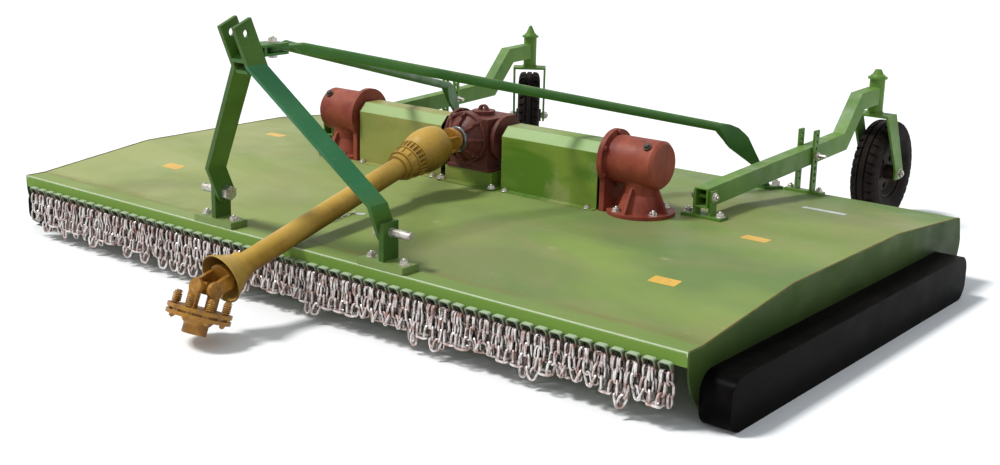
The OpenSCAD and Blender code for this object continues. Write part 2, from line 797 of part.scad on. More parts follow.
module arm_brackets() {
    ear_x = arm_w / 2 + gap;
    ear = 10;
    z = arm_mid_z(pivot_y);
    color(steel_green) for (side = [-1, 1]) translate([side * arm_x, pivot_y, 0]) {
        block(-80, 80, -28, 28, crown_z, crown_z + 10);
        for (s = [0, 1]) mirror([s, 0, 0]) {
            block(ear_x, ear_x + ear, -20, 20, crown_z + 9, z + 24);
            translate([64, 0, crown_z + 10]) hex_head(24, 13);
            translate([ear_x + ear, 0, z]) rotate([0, 90, 0]) hex_head(24, 12);
        }
        rod_x(-ear_x - ear, ear_x + ear, 0, z, 8);
    }
}

module height_bars() {
    x = arm_w / 2 + gap + washer_t;
    z0 = deck_z(bars_y);
    hole_z = arm_mid_z(bars_y);
    color(steel_green) for (side = [-1, 1]) translate([side * arm_x, bars_y, 0]) {
        translate([0, 0, z0]) rotate([-rear_slope, 0, 0]) {
            block(-78, 78, -23, 23, 0, 11);
            for (dx = [-62, 62]) translate([dx, 0, 11]) hex_head(22, 12);
        }
        for (s = [0, 1]) mirror([s, 0, 0]) difference() {
            block(x, x + height_bar_t, -height_bar_w / 2, height_bar_w / 2, z0 + 5, bars_z);
            for (k = [-4 : 3]) rod_x(x - 1, x + height_bar_t + 1, 0, hole_z + k * hole_pitch, 8 + running);
        }
    }
}

module height_bolts() {
    z = arm_mid_z(bars_y);
    x = arm_w / 2 + gap;
    color(zinc) for (side = [-1, 1]) translate([side * arm_x, bars_y, z]) {
        rod_x(-x - 30, x + 52, 0, 0, 8);
        rod_x(x, x + washer_t - gap, 0, 0, 15);
        rod_x(gap - x - washer_t, -x, 0, 0, 15);
        for (s = [0, 1]) mirror([s, 0, 0])
            translate([x + washer_t + height_bar_t + gap, 0, 0]) rotate([0, 90, 0]) hex_head(24, 13);
    }
}

/* Castor forks and wheels. Each is drawn with its post on x = y = 0 and its wheel towards +y. */

fork_in = tyre_w / 2 + 15;
fork_t = 10;
plate_z = sleeve_z - 8;

module fork(side) {
    cap_z = sleeve_z + sleeve_h;
    leg = [[-45, plate_z - 4], [45, plate_z - 4], [trail + 38, tyre_r + 8], [trail + 38, tyre_r - 25],
        [trail - 38, tyre_r - 25], [trail - 38, tyre_r + 14]];
    color(steel_green) at_post(side) {
        difference() {
            union() {
                block(-fork_in - fork_t, fork_in + fork_t, -45, 45, plate_z - fork_t, plate_z);
                for (s = [0, 1]) mirror([s, 0, 0]) {
                    along_x(fork_in, fork_in + fork_t) polygon(leg);
                    rod_x(fork_in, fork_in + fork_t, trail, tyre_r, 27);
                }
                translate([0, 0, plate_z]) cylinder(r = sleeve_r + 4, h = sleeve_z - plate_z - gap);
                translate([0, 0, plate_z - fork_t]) cylinder(r = post_r, h = sleeve_z + sleeve_h + 8 - plate_z + fork_t);
                translate([0, 0, cap_z + gap]) cylinder(r1 = 34, r2 = 28, h = 9);
                translate([0, 0, cap_z + 9]) cylinder(r1 = 24, r2 = side < 0 ? 6 : 13, h = side < 0 ? 40 : 22);
            }
            rod_x(-fork_in - 20, fork_in + 20, trail, tyre_r, 10 + running);
        }
    }
}

module fork_right() {
    fork(1);
}

module fork_left() {
    fork(-1);
}

module axle(side) {
    x = fork_in + fork_t + gap;
    color(zinc) at_post(side) {
        rod_x(-x, x, trail, tyre_r, 10);
        for (s = [0, 1]) mirror([s, 0, 0]) {
            translate([x, trail, tyre_r]) rotate([0, 90, 0]) hex_head(28, 14);
            translate([fork_in - 6, trail, tyre_r]) rotate([0, 90, 0]) cylinder(r = 17, h = 5.7);
        }
    }
}

module axle_right() {
    axle(1);
}

module axle_left() {
    axle(-1);
}

module at_wheel(side) {
    at_post(side) translate([0, trail, tyre_r]) rotate([0, 90, 0]) children();
}

module tyre(side) {
    half = tyre_w / 2;
    color(tyre_black) at_wheel(side) rotate_extrude() polygon([
        [rim_r, -half * 0.62], [rim_r + 16, -half * 0.8], [tyre_r - 58, -half], [tyre_r - 24, -half * 0.95],
        [tyre_r - 5, -half * 0.74], [tyre_r, -half * 0.35], [tyre_r, half * 0.35], [tyre_r - 5, half * 0.74],
        [tyre_r - 24, half * 0.95], [tyre_r - 58, half], [rim_r + 16, half * 0.8], [rim_r, half * 0.62]
    ]);
}

module tyre_right() {
    tyre(1);
}

module tyre_left() {
    tyre(-1);
}

module rim(side) {
    half = tyre_w / 2;
    seat = rim_r - gap;
    color(dark_steel) at_wheel(side) difference() {
        rotate_extrude() polygon([
            [10 + running, -half - 8], [32, -half - 8], [32, -20], [seat - 22, -14], [seat - 8, -half * 0.62],
            [seat, -half * 0.62], [seat, half * 0.62], [seat - 8, half * 0.62], [seat - 22, 14],
            [32, 20], [32, half + 8], [10 + running, half + 8]
        ]);
        for (a = [0 : 72 : 288]) rotate([0, 0, a]) translate([60, 0, -40]) cylinder(r = 13, h = 80);
    }
}

module rim_right() {
    rim(1);
}

module rim_left() {
    rim(-1);
}

/* Drive shaft */

// Two ears for a cross arm along x at z = 0, standing up from a flange on the negative side
module yoke(flange_t, drilled = true) {
    difference() {
        union() {
            translate([0, 0, -yoke_l - flange_t]) cylinder(r = ear_in + ear_t, h = flange_t);
            for (s = [0, 1]) mirror([s, 0, 0]) {
                rod_x(ear_in, ear_in + ear_t, 0, 0, 27);
                block(ear_in, ear_in + ear_t, -22, 22, -yoke_l - 2, 0);
            }
        }
        if (drilled) rod_x(-80, 80, 0, 0, cross_r + running);
    }
}

module cross() {
    arm = ear_in + ear_t - 1;
    cube(38, center = true);
    rod_x(-arm, arm, 0, 0, cross_r);
    rotate([0, 0, 90]) rod_x(-arm, arm, 0, 0, cross_r);
}

// The rear joint's cross. Its arms towards the input yoke end in cones that turn just inside that yoke's ears.
module open_cross() {
    arm = ear_in + ear_t - 1;
    straight = sqrt(pow(ear_in - running, 2) - pow(cross_r, 2)) - running;
    cube(38, center = true);
    for (s = [0, 1]) mirror([s, 0, 0]) {
        rod_x(0, straight, 0, 0, cross_r);
        translate([straight, 0, 0]) rotate([0, 90, 0]) cylinder(r1 = cross_r, r2 = 5, h = ear_in - 0.6 - straight);
    }
    rotate([0, 0, 90]) rod_x(-arm, arm, 0, 0, cross_r);
}

module input_yoke() {
    color(joint_gold) translate([0, joint_y, joint_z]) rotate([90, 0, 0]) {
        yoke(14, false);
        translate([0, 0, 5 - gear_nose]) cylinder(r = 31, h = gear_nose - yoke_l - 17);
    }
    color(zinc) rod_y(joint_y + gear_nose - 26, joint_y + gear_nose - 5, 0, joint_z, 37);
    color(zinc) rod_y(joint_y + 80, joint_y + gear_nose + 24, 0, joint_z, shaft_r - running);
}

// A guard bell and its bearing ring, turned from a profile of (radius, distance along the shaft)
module guard_rear() {
    r = guard_r;
    t = guard_t;
    color(guard_ochre) at_joint() {
        rotate_extrude() polygon([
            [bell_r - 13, -6], [bell_r - 6, 14], [bell_r, 46], [bell_r, 78], [bell_r - 5, 104], [bell_r - 16, 128],
            [64, 134], [52, 200], [r + 10, 202], [r + 10, 222], [r, 224], [r, 300],
            [r - t, 300], [r - t, 222], [28 + running, 218], [28 + running, 204], [48, 200], [60, 132],
            [bell_r - 20, 126], [bell_r - 9, 102], [bell_r - 4, 77], [bell_r - 4, 47], [bell_r - 10, 15],
            [bell_r - 17, -6]
        ]);
        translate([0, 0, 299]) difference() {
            cylinder(r = r, h = neck_s - 299 - gap);
            translate([0, 0, -1]) cylinder(r = r - t, h = neck_s);
        }
    }
}

module shaft_rear() {
    color(joint_gold) at_joint() {
        open_cross();
        rotate([0, 180, 90]) yoke(12);
        translate([0, 0, yoke_l + 10]) difference() {
            cylinder(r = 28, h = shaft_l - 500);
            translate([0, 0, 40]) cylinder(r = 22, h = shaft_l);
        }
    }
}

module guard_front() {
    r = guard_r - guard_t - 1.5;
    rim = front_bell_r;
    color(guard_ochre) at_joint() {
        rotate_extrude() polygon([
            [r - guard_t, inner_tube_s], [r, inner_tube_s], [r, neck_s], [guard_r + 12, neck_s], [guard_r + 12, neck_s + 22],
            [guard_r + 15, neck_s + 24], [rim, rim_s], [rim - 4, rim_s], [guard_r + 11, neck_s + 27],
            [22 + running, neck_s + 20], [22 + running, neck_s + 6], [r - guard_t, neck_s - 8]
        ]);
    }
}

module shaft_front() {
    color(joint_gold) at_joint() {
        translate([0, 0, shaft_l]) yoke(12);
        translate([0, 0, rod_s]) cylinder(r = 22 - running, h = shaft_l - yoke_l - rod_s - 6);
    }
}

module clutch_plates() {
    color(joint_gold) at_clutch() {
        for (z = [0, plate_pack - 12]) translate([0, 0, yoke_l + z]) cylinder(r = clutch_r, h = 12);
        translate([0, 0, yoke_l + 11]) cylinder(r = clutch_r - 12, h = plate_pack - 22);
        for (a = [0 : 30 : 330]) rotate([0, 0, a]) translate([-11, clutch_r - 30, yoke_l + 11])
            cube([22, 25, plate_pack - 22]);
    }
}

module clutch_springs() {
    count = 8;
    color(joint_gold) at_clutch() for (i = [0 : count - 1])
        rotate([0, 0, (i + 0.5) * 360 / count]) translate([clutch_r - 18, 0, 0]) {
            translate([0, 0, yoke_l - 20]) cylinder(r = 11, h = 20 - gap);
            translate([0, 0, yoke_l - 24]) hex_head(13, 4 + running);
            translate([0, 0, yoke_l + plate_pack + gap]) hex_head(13, 9);
        }
}

module clutch_hub() {
    color(joint_gold) at_clutch() {
        cross();
        difference() {
            union() {
                for (s = [0, 1]) mirror([0, s, 0]) {
                    rotate([0, 0, 90]) rod_x(ear_in, ear_in + ear_t, 0, 0, 27);
                    block(-22, 22, ear_in, ear_in + ear_t, 0, yoke_l - gap);
                }
            }
            rotate([0, 0, 90]) rod_x(-80, 80, 0, 0, cross_r + running);
        }
        translate([0, 0, yoke_l + plate_pack + gap]) difference() {
            union() {
                cylinder(r1 = 58, r2 = 40, h = 20);
                cylinder(r = 40, h = hub_end - yoke_l - plate_pack - gap);
            }
            translate([0, 0, -1]) cylinder(r = spline_r, h = hub_end);
        }
    }
}

seated() deck();
seated() side_plates();
seated() rear_skirt();
seated() deck_stiffeners();
seated() skids();
seated() chain_loops();
seated() chain_curtain();
seated() mast_legs();
seated() mast_spacers();
seated() hitch_lugs();
seated() hitch_pins();
seated() stay_bracket();
seated() stays();
seated() pedestal();
seated() centre_gearbox();
seated() side_gearbox_right();
seated() side_gearbox_left();
seated() shaft_covers();
seated() arm_brackets();
seated() castor_arm_right();
seated() castor_arm_left();
seated() height_bars();
seated() height_bolts();
seated() fork_right();
seated() fork_left();
seated() axle_right();
seated() axle_left();
seated() tyre_right();
seated() tyre_left();
seated() rim_right();
seated() rim_left();
seated() rotor_right();
seated() rotor_left();
seated() cutting_chains_right();
seated() cutting_chains_left();
seated() cross_shafts();
seated() input_yoke();
seated() guard_rear();
seated() shaft_rear();
seated() guard_front();
seated() shaft_front();
seated() clutch_plates();
seated() clutch_springs();
seated() clutch_hub();
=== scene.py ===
"""Looks of the chain mower: faded green paint, round wire chains, primer castings and an ochre drive shaft."""

import math
import random

import bpy
from mathutils import Matrix, Vector


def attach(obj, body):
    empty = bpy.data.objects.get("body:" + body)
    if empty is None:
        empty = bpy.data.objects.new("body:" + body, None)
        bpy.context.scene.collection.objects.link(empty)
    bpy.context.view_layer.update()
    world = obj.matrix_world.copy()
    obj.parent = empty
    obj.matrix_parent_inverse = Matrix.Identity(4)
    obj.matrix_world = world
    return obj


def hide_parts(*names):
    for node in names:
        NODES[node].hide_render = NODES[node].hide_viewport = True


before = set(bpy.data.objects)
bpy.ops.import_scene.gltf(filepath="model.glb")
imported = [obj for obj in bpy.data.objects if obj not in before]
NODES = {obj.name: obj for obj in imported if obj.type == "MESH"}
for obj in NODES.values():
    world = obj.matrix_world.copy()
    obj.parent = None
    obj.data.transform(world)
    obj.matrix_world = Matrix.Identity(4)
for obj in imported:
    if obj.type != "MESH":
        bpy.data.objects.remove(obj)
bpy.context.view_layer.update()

MM = 0.001

# Layout. The record's frame is the deck frame moved by MID_Y along y. Sizes are in millimetres, as in the part.

MID_Y = 1172.428
LIP_Z = 238
LIP_D = 79
FACE_H = 44
CROWN_Y = 597
CROWN_END_Y = 1367
CROWN_Z = 297
DECK_D = 1922
REAR_Z = 249
ROTOR_X = 727
GEAR_Y = 1000
ARM_X = 924
CASTOR_Y = 2492


def at(x, y, z):
    """A point of the deck frame, in millimetres, as a point of the row frame in metres."""
    return Vector((x * MM, (y - MID_Y) * MM, z * MM))


def deck_z(y):
    """Height of the deck's top at y."""
    line = [(0, LIP_Z), (LIP_D, LIP_Z), (CROWN_Y, CROWN_Z), (CROWN_END_Y, CROWN_Z), (DECK_D, REAR_Z)]
    for (y0, z0), (y1, z1) in zip(line, line[1:]):
        if y <= y1:
            return z0 + (z1 - z0) * (y - y0) / (y1 - y0)
    return REAR_Z


# Camera

CAM_POS = (3310.1, -3058.7, 1502.1)
CAM_YAW = 38.41
CAM_PITCH = 15.08
CAM_ROLL = 1.28
CAM_FOCAL_PX = 1388.1
PHOTO_W = 1000
SENSOR_MM = 36


def add_camera():
    yaw = math.radians(CAM_YAW)
    pitch = math.radians(CAM_PITCH)
    roll = math.radians(CAM_ROLL)
    look = Vector((-math.sin(yaw) * math.cos(pitch), math.cos(yaw) * math.cos(pitch), -math.sin(pitch)))
    side = Vector((math.cos(yaw), math.sin(yaw), 0))
    rise = side.cross(look)
    right = side * math.cos(roll) + rise * math.sin(roll)
    up = rise * math.cos(roll) - side * math.sin(roll)
    data = bpy.data.cameras.new("camera")
    data.sensor_width = SENSOR_MM
    data.lens = CAM_FOCAL_PX / PHOTO_W * SENSOR_MM
    cam = bpy.data.objects.new("camera", data)
    turn = Matrix((right, up, -look)).transposed()
    cam.matrix_world = Matrix.Translation(at(*CAM_POS)) @ turn.to_4x4()
    bpy.context.collection.objects.link(cam)
    bpy.context.scene.camera = cam


# Material helpers


class Nodes:
    """A small builder for one material's node tree. A value is either a socket or a constant."""

    def __init__(self, name):
        self.mat = bpy.data.materials.new(name)
        self.mat.use_nodes = True
        self.tree = self.mat.node_tree
        self.shader = self.tree.nodes["Principled BSDF"]
        self.coords = self.tree.nodes.new("ShaderNodeTexCoord").outputs["Object"]
        self.rounded = None

    def feed(self, socket, value):
        """Links a socket, or sets a constant on the node's own socket."""
        if hasattr(value, "is_linked"):
            self.tree.links.new(value, socket)
        elif socket.type == "RGBA":
            socket.default_value = (*value, 1)
        else:
            socket.default_value = value

    def add(self, kind, **inputs):
        n = self.tree.nodes.new(kind)
        for key, value in inputs.items():
            self.feed(n.inputs[key], value)
        return n

    def stretch(self, scale, move=(0, 0, 0), turn=(0, 0, 0)):
        return self.add("ShaderNodeMapping", Vector=self.coords, Scale=scale, Location=move, Rotation=turn).outputs[0]

    def noise(self, scale, detail=4, rough=0.55, vector=None, distortion=0):
        n = self.add(
            "ShaderNodeTexNoise", Vector=vector or self.coords, Scale=scale, Detail=detail,
            Roughness=rough, Distortion=distortion,
        )
        return n.outputs[0]

    def ramp(self, value, low, high, a=0.0, b=1.0):
        """a where value is low, b where it is high."""
        n = self.add("ShaderNodeMapRange", Value=value)
        for key, limit in (("From Min", low), ("From Max", high), ("To Min", a), ("To Max", b)):
            n.inputs[key].default_value = limit
        return n.outputs[0]

    def math(self, operation, a, b):
        n = self.tree.nodes.new("ShaderNodeMath")
        n.operation = operation
        self.feed(n.inputs[0], a)
        self.feed(n.inputs[1], b)
        return n.outputs[0]

    def times(self, a, b):
        return self.math("MULTIPLY", a, b)

    def sum(self, a, share_a, b, share_b):
        return self.math("ADD", self.times(a, share_a), self.times(b, share_b))

    def vector_math(self, operation, a, b):
        n = self.tree.nodes.new("ShaderNodeVectorMath")
        n.operation = operation
        self.feed(n.inputs[0], a)
        self.feed(n.inputs[1], b)
        return n.outputs

    def mix(self, factor, a, b):
        n = self.tree.nodes.new("ShaderNodeMix")
        n.data_type = "RGBA"
        for i, value in ((0, factor), (6, a), (7, b)):
            self.feed(n.inputs[i], value)
        return n.outputs[2]

    def over(self, colour, mask, amount, tint):
        """Lays tint over colour where mask is 1, by amount."""
        return self.mix(self.times(mask, amount), colour, tint)

    def axis(self, name):
        return self.add("ShaderNodeSeparateXYZ", Vector=self.coords).outputs[name]

    def facing_up(self):
        geo = self.tree.nodes.new("ShaderNodeNewGeometry")
        return self.add("ShaderNodeSeparateXYZ", Vector=geo.outputs["Normal"]).outputs["Z"]

    def facing_in(self, point):
        """Above 0 on faces that look towards a point of the row frame."""
        away = self.vector_math("SUBTRACT", self.coords, point)[0]
        dot = self.vector_math("DOT_PRODUCT", away, self.coords.node.outputs["Normal"])
        return self.times(dot["Value"], -1.0)

    def edges(self, radius):
        """1 on sharp edges, 0 on flat faces, from the difference between the bevelled and the true normal."""
        self.rounded = self.add("ShaderNodeBevel", Radius=radius).outputs[0]
        geo = self.tree.nodes.new("ShaderNodeNewGeometry")
        dot = self.vector_math("DOT_PRODUCT", self.rounded, geo.outputs["True Normal"])
        return self.ramp(dot["Value"], 0.995, 0.85)

    def edge_wear_and_highlight(self, radius, noise, low, high):
        """Edges picked out in places: rubbed wear on most paints, a painted highlight on the joints' paint."""
        return self.times(self.edges(radius), self.ramp(noise, low, high))

    def bump(self, height, strength, distance):
        n = self.add("ShaderNodeBump", Height=height, Strength=strength, Distance=distance)
        if self.rounded is not None:
            self.feed(n.inputs["Normal"], self.rounded)
        self.feed(self.shader.inputs["Normal"], n.outputs[0])

    def uneven(self, scale, detail, low, high):
        """A roughness that wanders between low and high."""
        return self.ramp(self.noise(scale, detail), 0.3, 0.7, low, high)

    def finish(self, colour, rough, metallic=0.0, specular=0.5):
        values = {"Base Color": colour, "Roughness": rough, "Metallic": metallic, "Specular IOR Level": specular}
        for key, value in values.items():
            self.feed(self.shader.inputs[key], value)
        return self.mat


def srgb(*display):
    """A colour read as 0 to 255 display values, as linear light."""
    shares = [value / 255 for value in display]
    return tuple(c / 12.92 if c <= 0.04045 else ((c + 0.055) / 1.055) ** 2.4 for c in shares)


# Materials. Places in them are in metres of the row frame, where the deck's front face is at y = -1.172.


def painted(name, base, faded, scale, foot=None):
    """Paint with broad faded patches, dust on upper faces and worn edges. A foot is paler up to a height."""
    m = Nodes(name)
    colour = m.mix(m.ramp(m.noise(scale, 5, 0.6), 0.35, 0.68), base, faded)
    if foot:
        tint, top = foot
        colour = m.over(colour, m.ramp(m.axis("Z"), top + 0.004, top), 0.8, tint)
    dust = m.times(m.ramp(m.noise(scale * 4, 6, 0.65), 0.5, 0.75), m.ramp(m.facing_up(), 0.2, 0.9))
    colour = m.over(colour, dust, 0.45, srgb(140, 138, 96))
    colour = m.over(colour, m.edge_wear_and_highlight(0.003, m.noise(45, 4, 0.6), 0.4, 0.62), 0.7, tuple(c * 1.5 for c in faded))
    m.bump(m.sum(m.noise(14, 3, 0.5), 0.6, m.noise(220, 3, 0.6), 0.25), 0.25, 0.0012)
    return m.finish(colour, m.uneven(scale * 2.5, 4, 0.35, 0.6), 0.0, 0.28)


def deck_paint():
    """Sun-faded olive green, with darker patches that are partly painted shade; pale dust to the left that is partly a
    painted sheen; cool and brown patches; a darker green strip behind a painted highlight on the front edge.
    """
    m = Nodes("deck_paint")
    # Broad soft patches: the paler ones are sun-faded paint, the darker ones partly painted shade in bands.
    wide = m.noise(0.8, 2, 0.4, m.stretch((1.0, 1.3, 1.0), (2.3, 0.4, 0)), 0.4)
    colour = m.mix(m.ramp(wide, 0.38, 0.62), srgb(92, 119, 48), srgb(122, 141, 72))
    cool = m.noise(1.1, 3, 0.45, m.stretch((1.0, 1.5, 1.0), (7, 2, 0)), 0.5)
    colour = m.over(colour, m.ramp(cool, 0.44, 0.6), 0.65, srgb(84, 110, 66))
    brown = m.noise(1.4, 4, 0.5, m.stretch((1.0, 1.5, 1.0), (1, 5, 0)), 0.5)
    colour = m.over(colour, m.ramp(brown, 0.48, 0.66), 0.55, srgb(134, 127, 90))
    # Paler towards the left: dust, and in part a painted sheen of grazing light.
    left = m.ramp(m.axis("X"), 0.7, -1.2, 0.12, 1.0)
    dust = m.ramp(m.noise(1.3, 4, 0.55, m.stretch((1, 1.6, 1), (4, 1, 0)), 0.8), 0.3, 0.62, 0.25, 1.0)
    upper = m.ramp(m.facing_up(), 0.5, 0.95, 0.1, 0.9)
    colour = m.mix(m.times(m.times(dust, left), upper), colour, srgb(160, 164, 110))
    behind = m.times(m.ramp(m.axis("Y"), -1.075, -1.1), m.ramp(m.axis("Z"), 0.22, 0.234))
    colour = m.over(colour, behind, 0.6, srgb(116, 140, 70))
    # Darker brown spots along the fold behind the front edge.
    fold = m.times(m.ramp(m.axis("Y"), -1.045, -1.085), m.ramp(m.axis("Y"), -1.115, -1.095))
    fold_spots = m.times(fold, m.ramp(m.noise(7, 5, 0.65, m.stretch((1, 5, 1))), 0.36, 0.6))
    colour = m.over(colour, fold_spots, 0.5, srgb(118, 106, 68))
    scuffs = m.noise(9, 8, 0.7, m.stretch((1, 3, 1)))
    colour = m.over(colour, m.ramp(scuffs, 0.62, 0.72), 0.3, srgb(184, 170, 136))
    colour = m.over(colour, m.ramp(m.axis("Y"), -1.17, -1.1715), 0.75, srgb(100, 132, 48))
    # A painted highlight along the top of the front bend.
    bend_highlight = m.times(m.edges(0.009), m.ramp(m.axis("Z"), 0.222, 0.228))
    lip_highlight = m.times(bend_highlight, m.ramp(m.axis("Y"), -1.158, -1.165))
    colour = m.over(colour, m.edge_wear_and_highlight(0.004, m.noise(20, 5, 0.6), 0.35, 0.6), 0.5, srgb(190, 205, 160))
    colour = m.over(colour, lip_highlight, 0.9, srgb(232, 240, 212))
    m.bump(m.sum(m.noise(2.2, 3, 0.5), 3.0, m.noise(160, 3), 0.15), 0.2, 0.002)
    return m.finish(colour, m.uneven(5, 5, 0.42, 0.64), 0.0, 0.1)


def side_paint():
    """The side plates: dark green, partly painted shade of faces turned from the light, and darker towards the bottom.
    """
    m = Nodes("side_paint")
    streaks = m.noise(3, 5, 0.6, m.stretch((1, 1, 2.5)))
    # The dark green is partly painted shade on plates that face away from the light.
    colour = m.mix(m.ramp(streaks, 0.35, 0.68), srgb(36, 62, 10), srgb(60, 82, 24))
    # Darker towards the bottom.
    darker_low = m.times(m.ramp(m.axis("Z"), 0.26, 0.05), m.ramp(m.noise(6, 6, 0.65), 0.3, 0.6, 0.5, 1.0))
    colour = m.mix(darker_low, colour, srgb(30, 28, 22))
    colour = m.over(colour, m.edge_wear_and_highlight(0.003, m.noise(24, 5, 0.6), 0.35, 0.6), 0.6, srgb(132, 150, 96))
    m.bump(m.noise(60, 4, 0.6), 0.2, 0.001)
    return m.finish(colour, m.uneven(8, 5, 0.4, 0.6), 0.0, 0.12)


def cover_paint():
    """Green covers with darker diagonal streaks of painted shade and pale patches of painted reflection, a painted
    highlight on the upper chamfers, dusty to the left of the middle.
    """
    m = Nodes("cover_paint")
    # Darker diagonal streaks: painted shade.
    skewed = m.stretch((1.0, 1.0, 2.4), turn=(0.0, 0.5, 0.0))
    colour = m.mix(m.ramp(m.noise(2.2, 3, 0.5, skewed, 0.7), 0.42, 0.58), srgb(78, 112, 26), srgb(112, 134, 48))
    # Pale hard-edged patches: painted reflections.
    pale = m.noise(2.6, 4, 0.55, m.stretch((1.2, 1, 1), (3, 8, 2)), 0.8)
    colour = m.over(colour, m.ramp(pale, 0.54, 0.62), 0.55, srgb(140, 144, 92))
    left = m.times(m.ramp(m.axis("X"), 0.1, -0.15), m.ramp(m.noise(4, 5), 0.25, 0.6, 0.5, 1.0))
    colour = m.over(colour, left, 0.6, srgb(164, 152, 86))
    up = m.facing_up()
    # Paler sloped faces near the top: a painted highlight on the chamfers.
    chamfer_highlight = m.times(m.ramp(up, 0.3, 0.5), m.ramp(up, 0.97, 0.9))
    colour = m.over(colour, chamfer_highlight, 0.75, srgb(142, 170, 108))
    colour = m.over(colour, m.edge_wear_and_highlight(0.003, m.noise(30, 4, 0.6), 0.4, 0.62), 0.6, srgb(176, 194, 144))
    m.bump(m.sum(m.noise(5, 3, 0.5), 1.5, m.noise(200, 3), 0.2), 0.2, 0.0015)
    return m.finish(colour, m.uneven(7, 4, 0.34, 0.55), 0.0, 0.3)


def mast_paint():
    """Teal on the right leg between its bends, olive green elsewhere."""
    m = Nodes("mast_paint")
    teal = m.mix(m.ramp(m.noise(3, 5, 0.6), 0.35, 0.68), srgb(38, 104, 62), srgb(58, 122, 74))
    green = m.mix(m.ramp(m.noise(4, 5, 0.6), 0.35, 0.68), srgb(46, 80, 14), srgb(70, 104, 34))
    long_part = m.times(m.ramp(m.axis("Z"), 0.41, 0.5), m.ramp(m.axis("Z"), 0.868, 0.864))
    colour = m.mix(m.times(long_part, m.ramp(m.axis("X"), 0.02, 0.03)), green, teal)
    scuffs = m.noise(24, 7, 0.7, m.stretch((1, 1, 3)))
    colour = m.over(colour, m.ramp(scuffs, 0.6, 0.72), 0.3, srgb(120, 142, 104))
    colour = m.over(colour, m.edge_wear_and_highlight(0.003, m.noise(45, 4, 0.6), 0.4, 0.62), 0.6, srgb(140, 172, 128))
    m.bump(m.sum(m.noise(14, 3, 0.5), 0.6, m.noise(220, 3), 0.25), 0.25, 0.0012)
    return m.finish(colour, m.uneven(8, 4, 0.34, 0.55), 0.0, 0.22)


# A point between the left fork's arms
LEFT_FORK_MID = (-1002, 2596, 300)


def rusty_fork():
    """The left fork: green outside, rust on the faces that look at the tyre."""
    m = Nodes("rusty_fork")
    green = m.mix(m.ramp(m.noise(5, 5, 0.6), 0.35, 0.68), srgb(70, 108, 32), srgb(96, 132, 50))
    rust = m.mix(m.ramp(m.noise(26, 6, 0.65), 0.35, 0.7), srgb(92, 50, 30), srgb(190, 138, 96))
    colour = m.mix(m.ramp(m.facing_in(at(*LEFT_FORK_MID)), 0.0, 0.012), green, rust)
    colour = m.over(colour, m.edge_wear_and_highlight(0.003, m.noise(45, 4, 0.6), 0.4, 0.62), 0.6, srgb(150, 170, 110))
    m.bump(m.noise(120, 4, 0.6), 0.3, 0.001)
    return m.finish(colour, m.uneven(14, 4, 0.4, 0.65), 0.0, 0.28)


def skid_paint():
    """Black paint, scuffed grey along the edges."""
    m = Nodes("skid_paint")
    colour = m.mix(m.ramp(m.noise(6, 6, 0.65), 0.45, 0.75), srgb(8, 7, 7), srgb(20, 17, 17))
    colour = m.over(colour, m.edge_wear_and_highlight(0.004, m.noise(30, 6, 0.65), 0.52, 0.7), 0.4, srgb(84, 80, 78))
    m.bump(m.sum(m.noise(5, 3), 2.0, m.noise(90, 4), 0.4), 0.2, 0.0015)
    return m.finish(colour, m.uneven(12, 5, 0.26, 0.42), 0.0, 0.012)


def primer(name, low, high):
    """Red-brown primer on sand castings."""
    m = Nodes(name)
    colour = m.mix(m.ramp(m.noise(7, 5, 0.6), 0.35, 0.7), low, high)
    dust = m.times(m.ramp(m.noise(18, 6, 0.7), 0.5, 0.7), m.ramp(m.facing_up(), 0.1, 0.9))
    colour = m.over(colour, dust, 0.35, srgb(170, 112, 92))
    colour = m.over(colour, m.edge_wear_and_highlight(0.003, m.noise(60, 4), 0.4, 0.6), 0.5, srgb(134, 92, 82))
    m.bump(m.sum(m.noise(260, 4, 0.6), 1.0, m.noise(40, 3), 1.5), 0.35, 0.0012)
    return m.finish(colour, m.uneven(20, 5, 0.4, 0.62), 0.0, 0.2)


def guard_plastic():
    """Ochre plastic guards with a painted highlight on top and painted shade below, grimy in spots."""
    m = Nodes("guard_plastic")
    colour = m.mix(m.ramp(m.noise(8, 5, 0.6), 0.35, 0.7), srgb(150, 115, 38), srgb(178, 142, 66))
    colour = m.over(colour, m.ramp(m.noise(26, 6, 0.7), 0.52, 0.76), 0.5, srgb(108, 78, 32))
    # Painted highlight on upward faces and painted shade on downward faces.
    up = m.facing_up()
    colour = m.mix(m.ramp(up, 0.35, 0.95, 0.0, 0.45), colour, srgb(208, 170, 78))
    colour = m.over(colour, m.ramp(up, 0.3, -0.6), 0.85, srgb(88, 60, 10))
    m.bump(m.noise(180, 3), 0.15, 0.0008)
    return m.finish(colour, m.uneven(12, 4, 0.36, 0.55), 0.0, 0.25)


def joint_paint():
    """Gold-orange paint on the joints and the clutch, with dark patches of painted shade and painted highlights on the
    edges.
    """
    m = Nodes("joint_paint")
    colour = m.mix(m.ramp(m.noise(22, 5, 0.6), 0.35, 0.7), srgb(128, 84, 22), srgb(178, 126, 44))
    # Dark patches: painted shade of the gaps.
    colour = m.over(colour, m.ramp(m.noise(46, 5, 0.7), 0.54, 0.72), 0.6, srgb(66, 42, 16))
    # Pale edges: a painted highlight.
    colour = m.over(colour, m.edge_wear_and_highlight(0.002, m.noise(80, 4), 0.4, 0.6), 0.7, srgb(222, 184, 112))
    m.bump(m.noise(200, 3), 0.2, 0.0008)
    return m.finish(colour, m.uneven(30, 4, 0.28, 0.45), 0.15, 0.4)


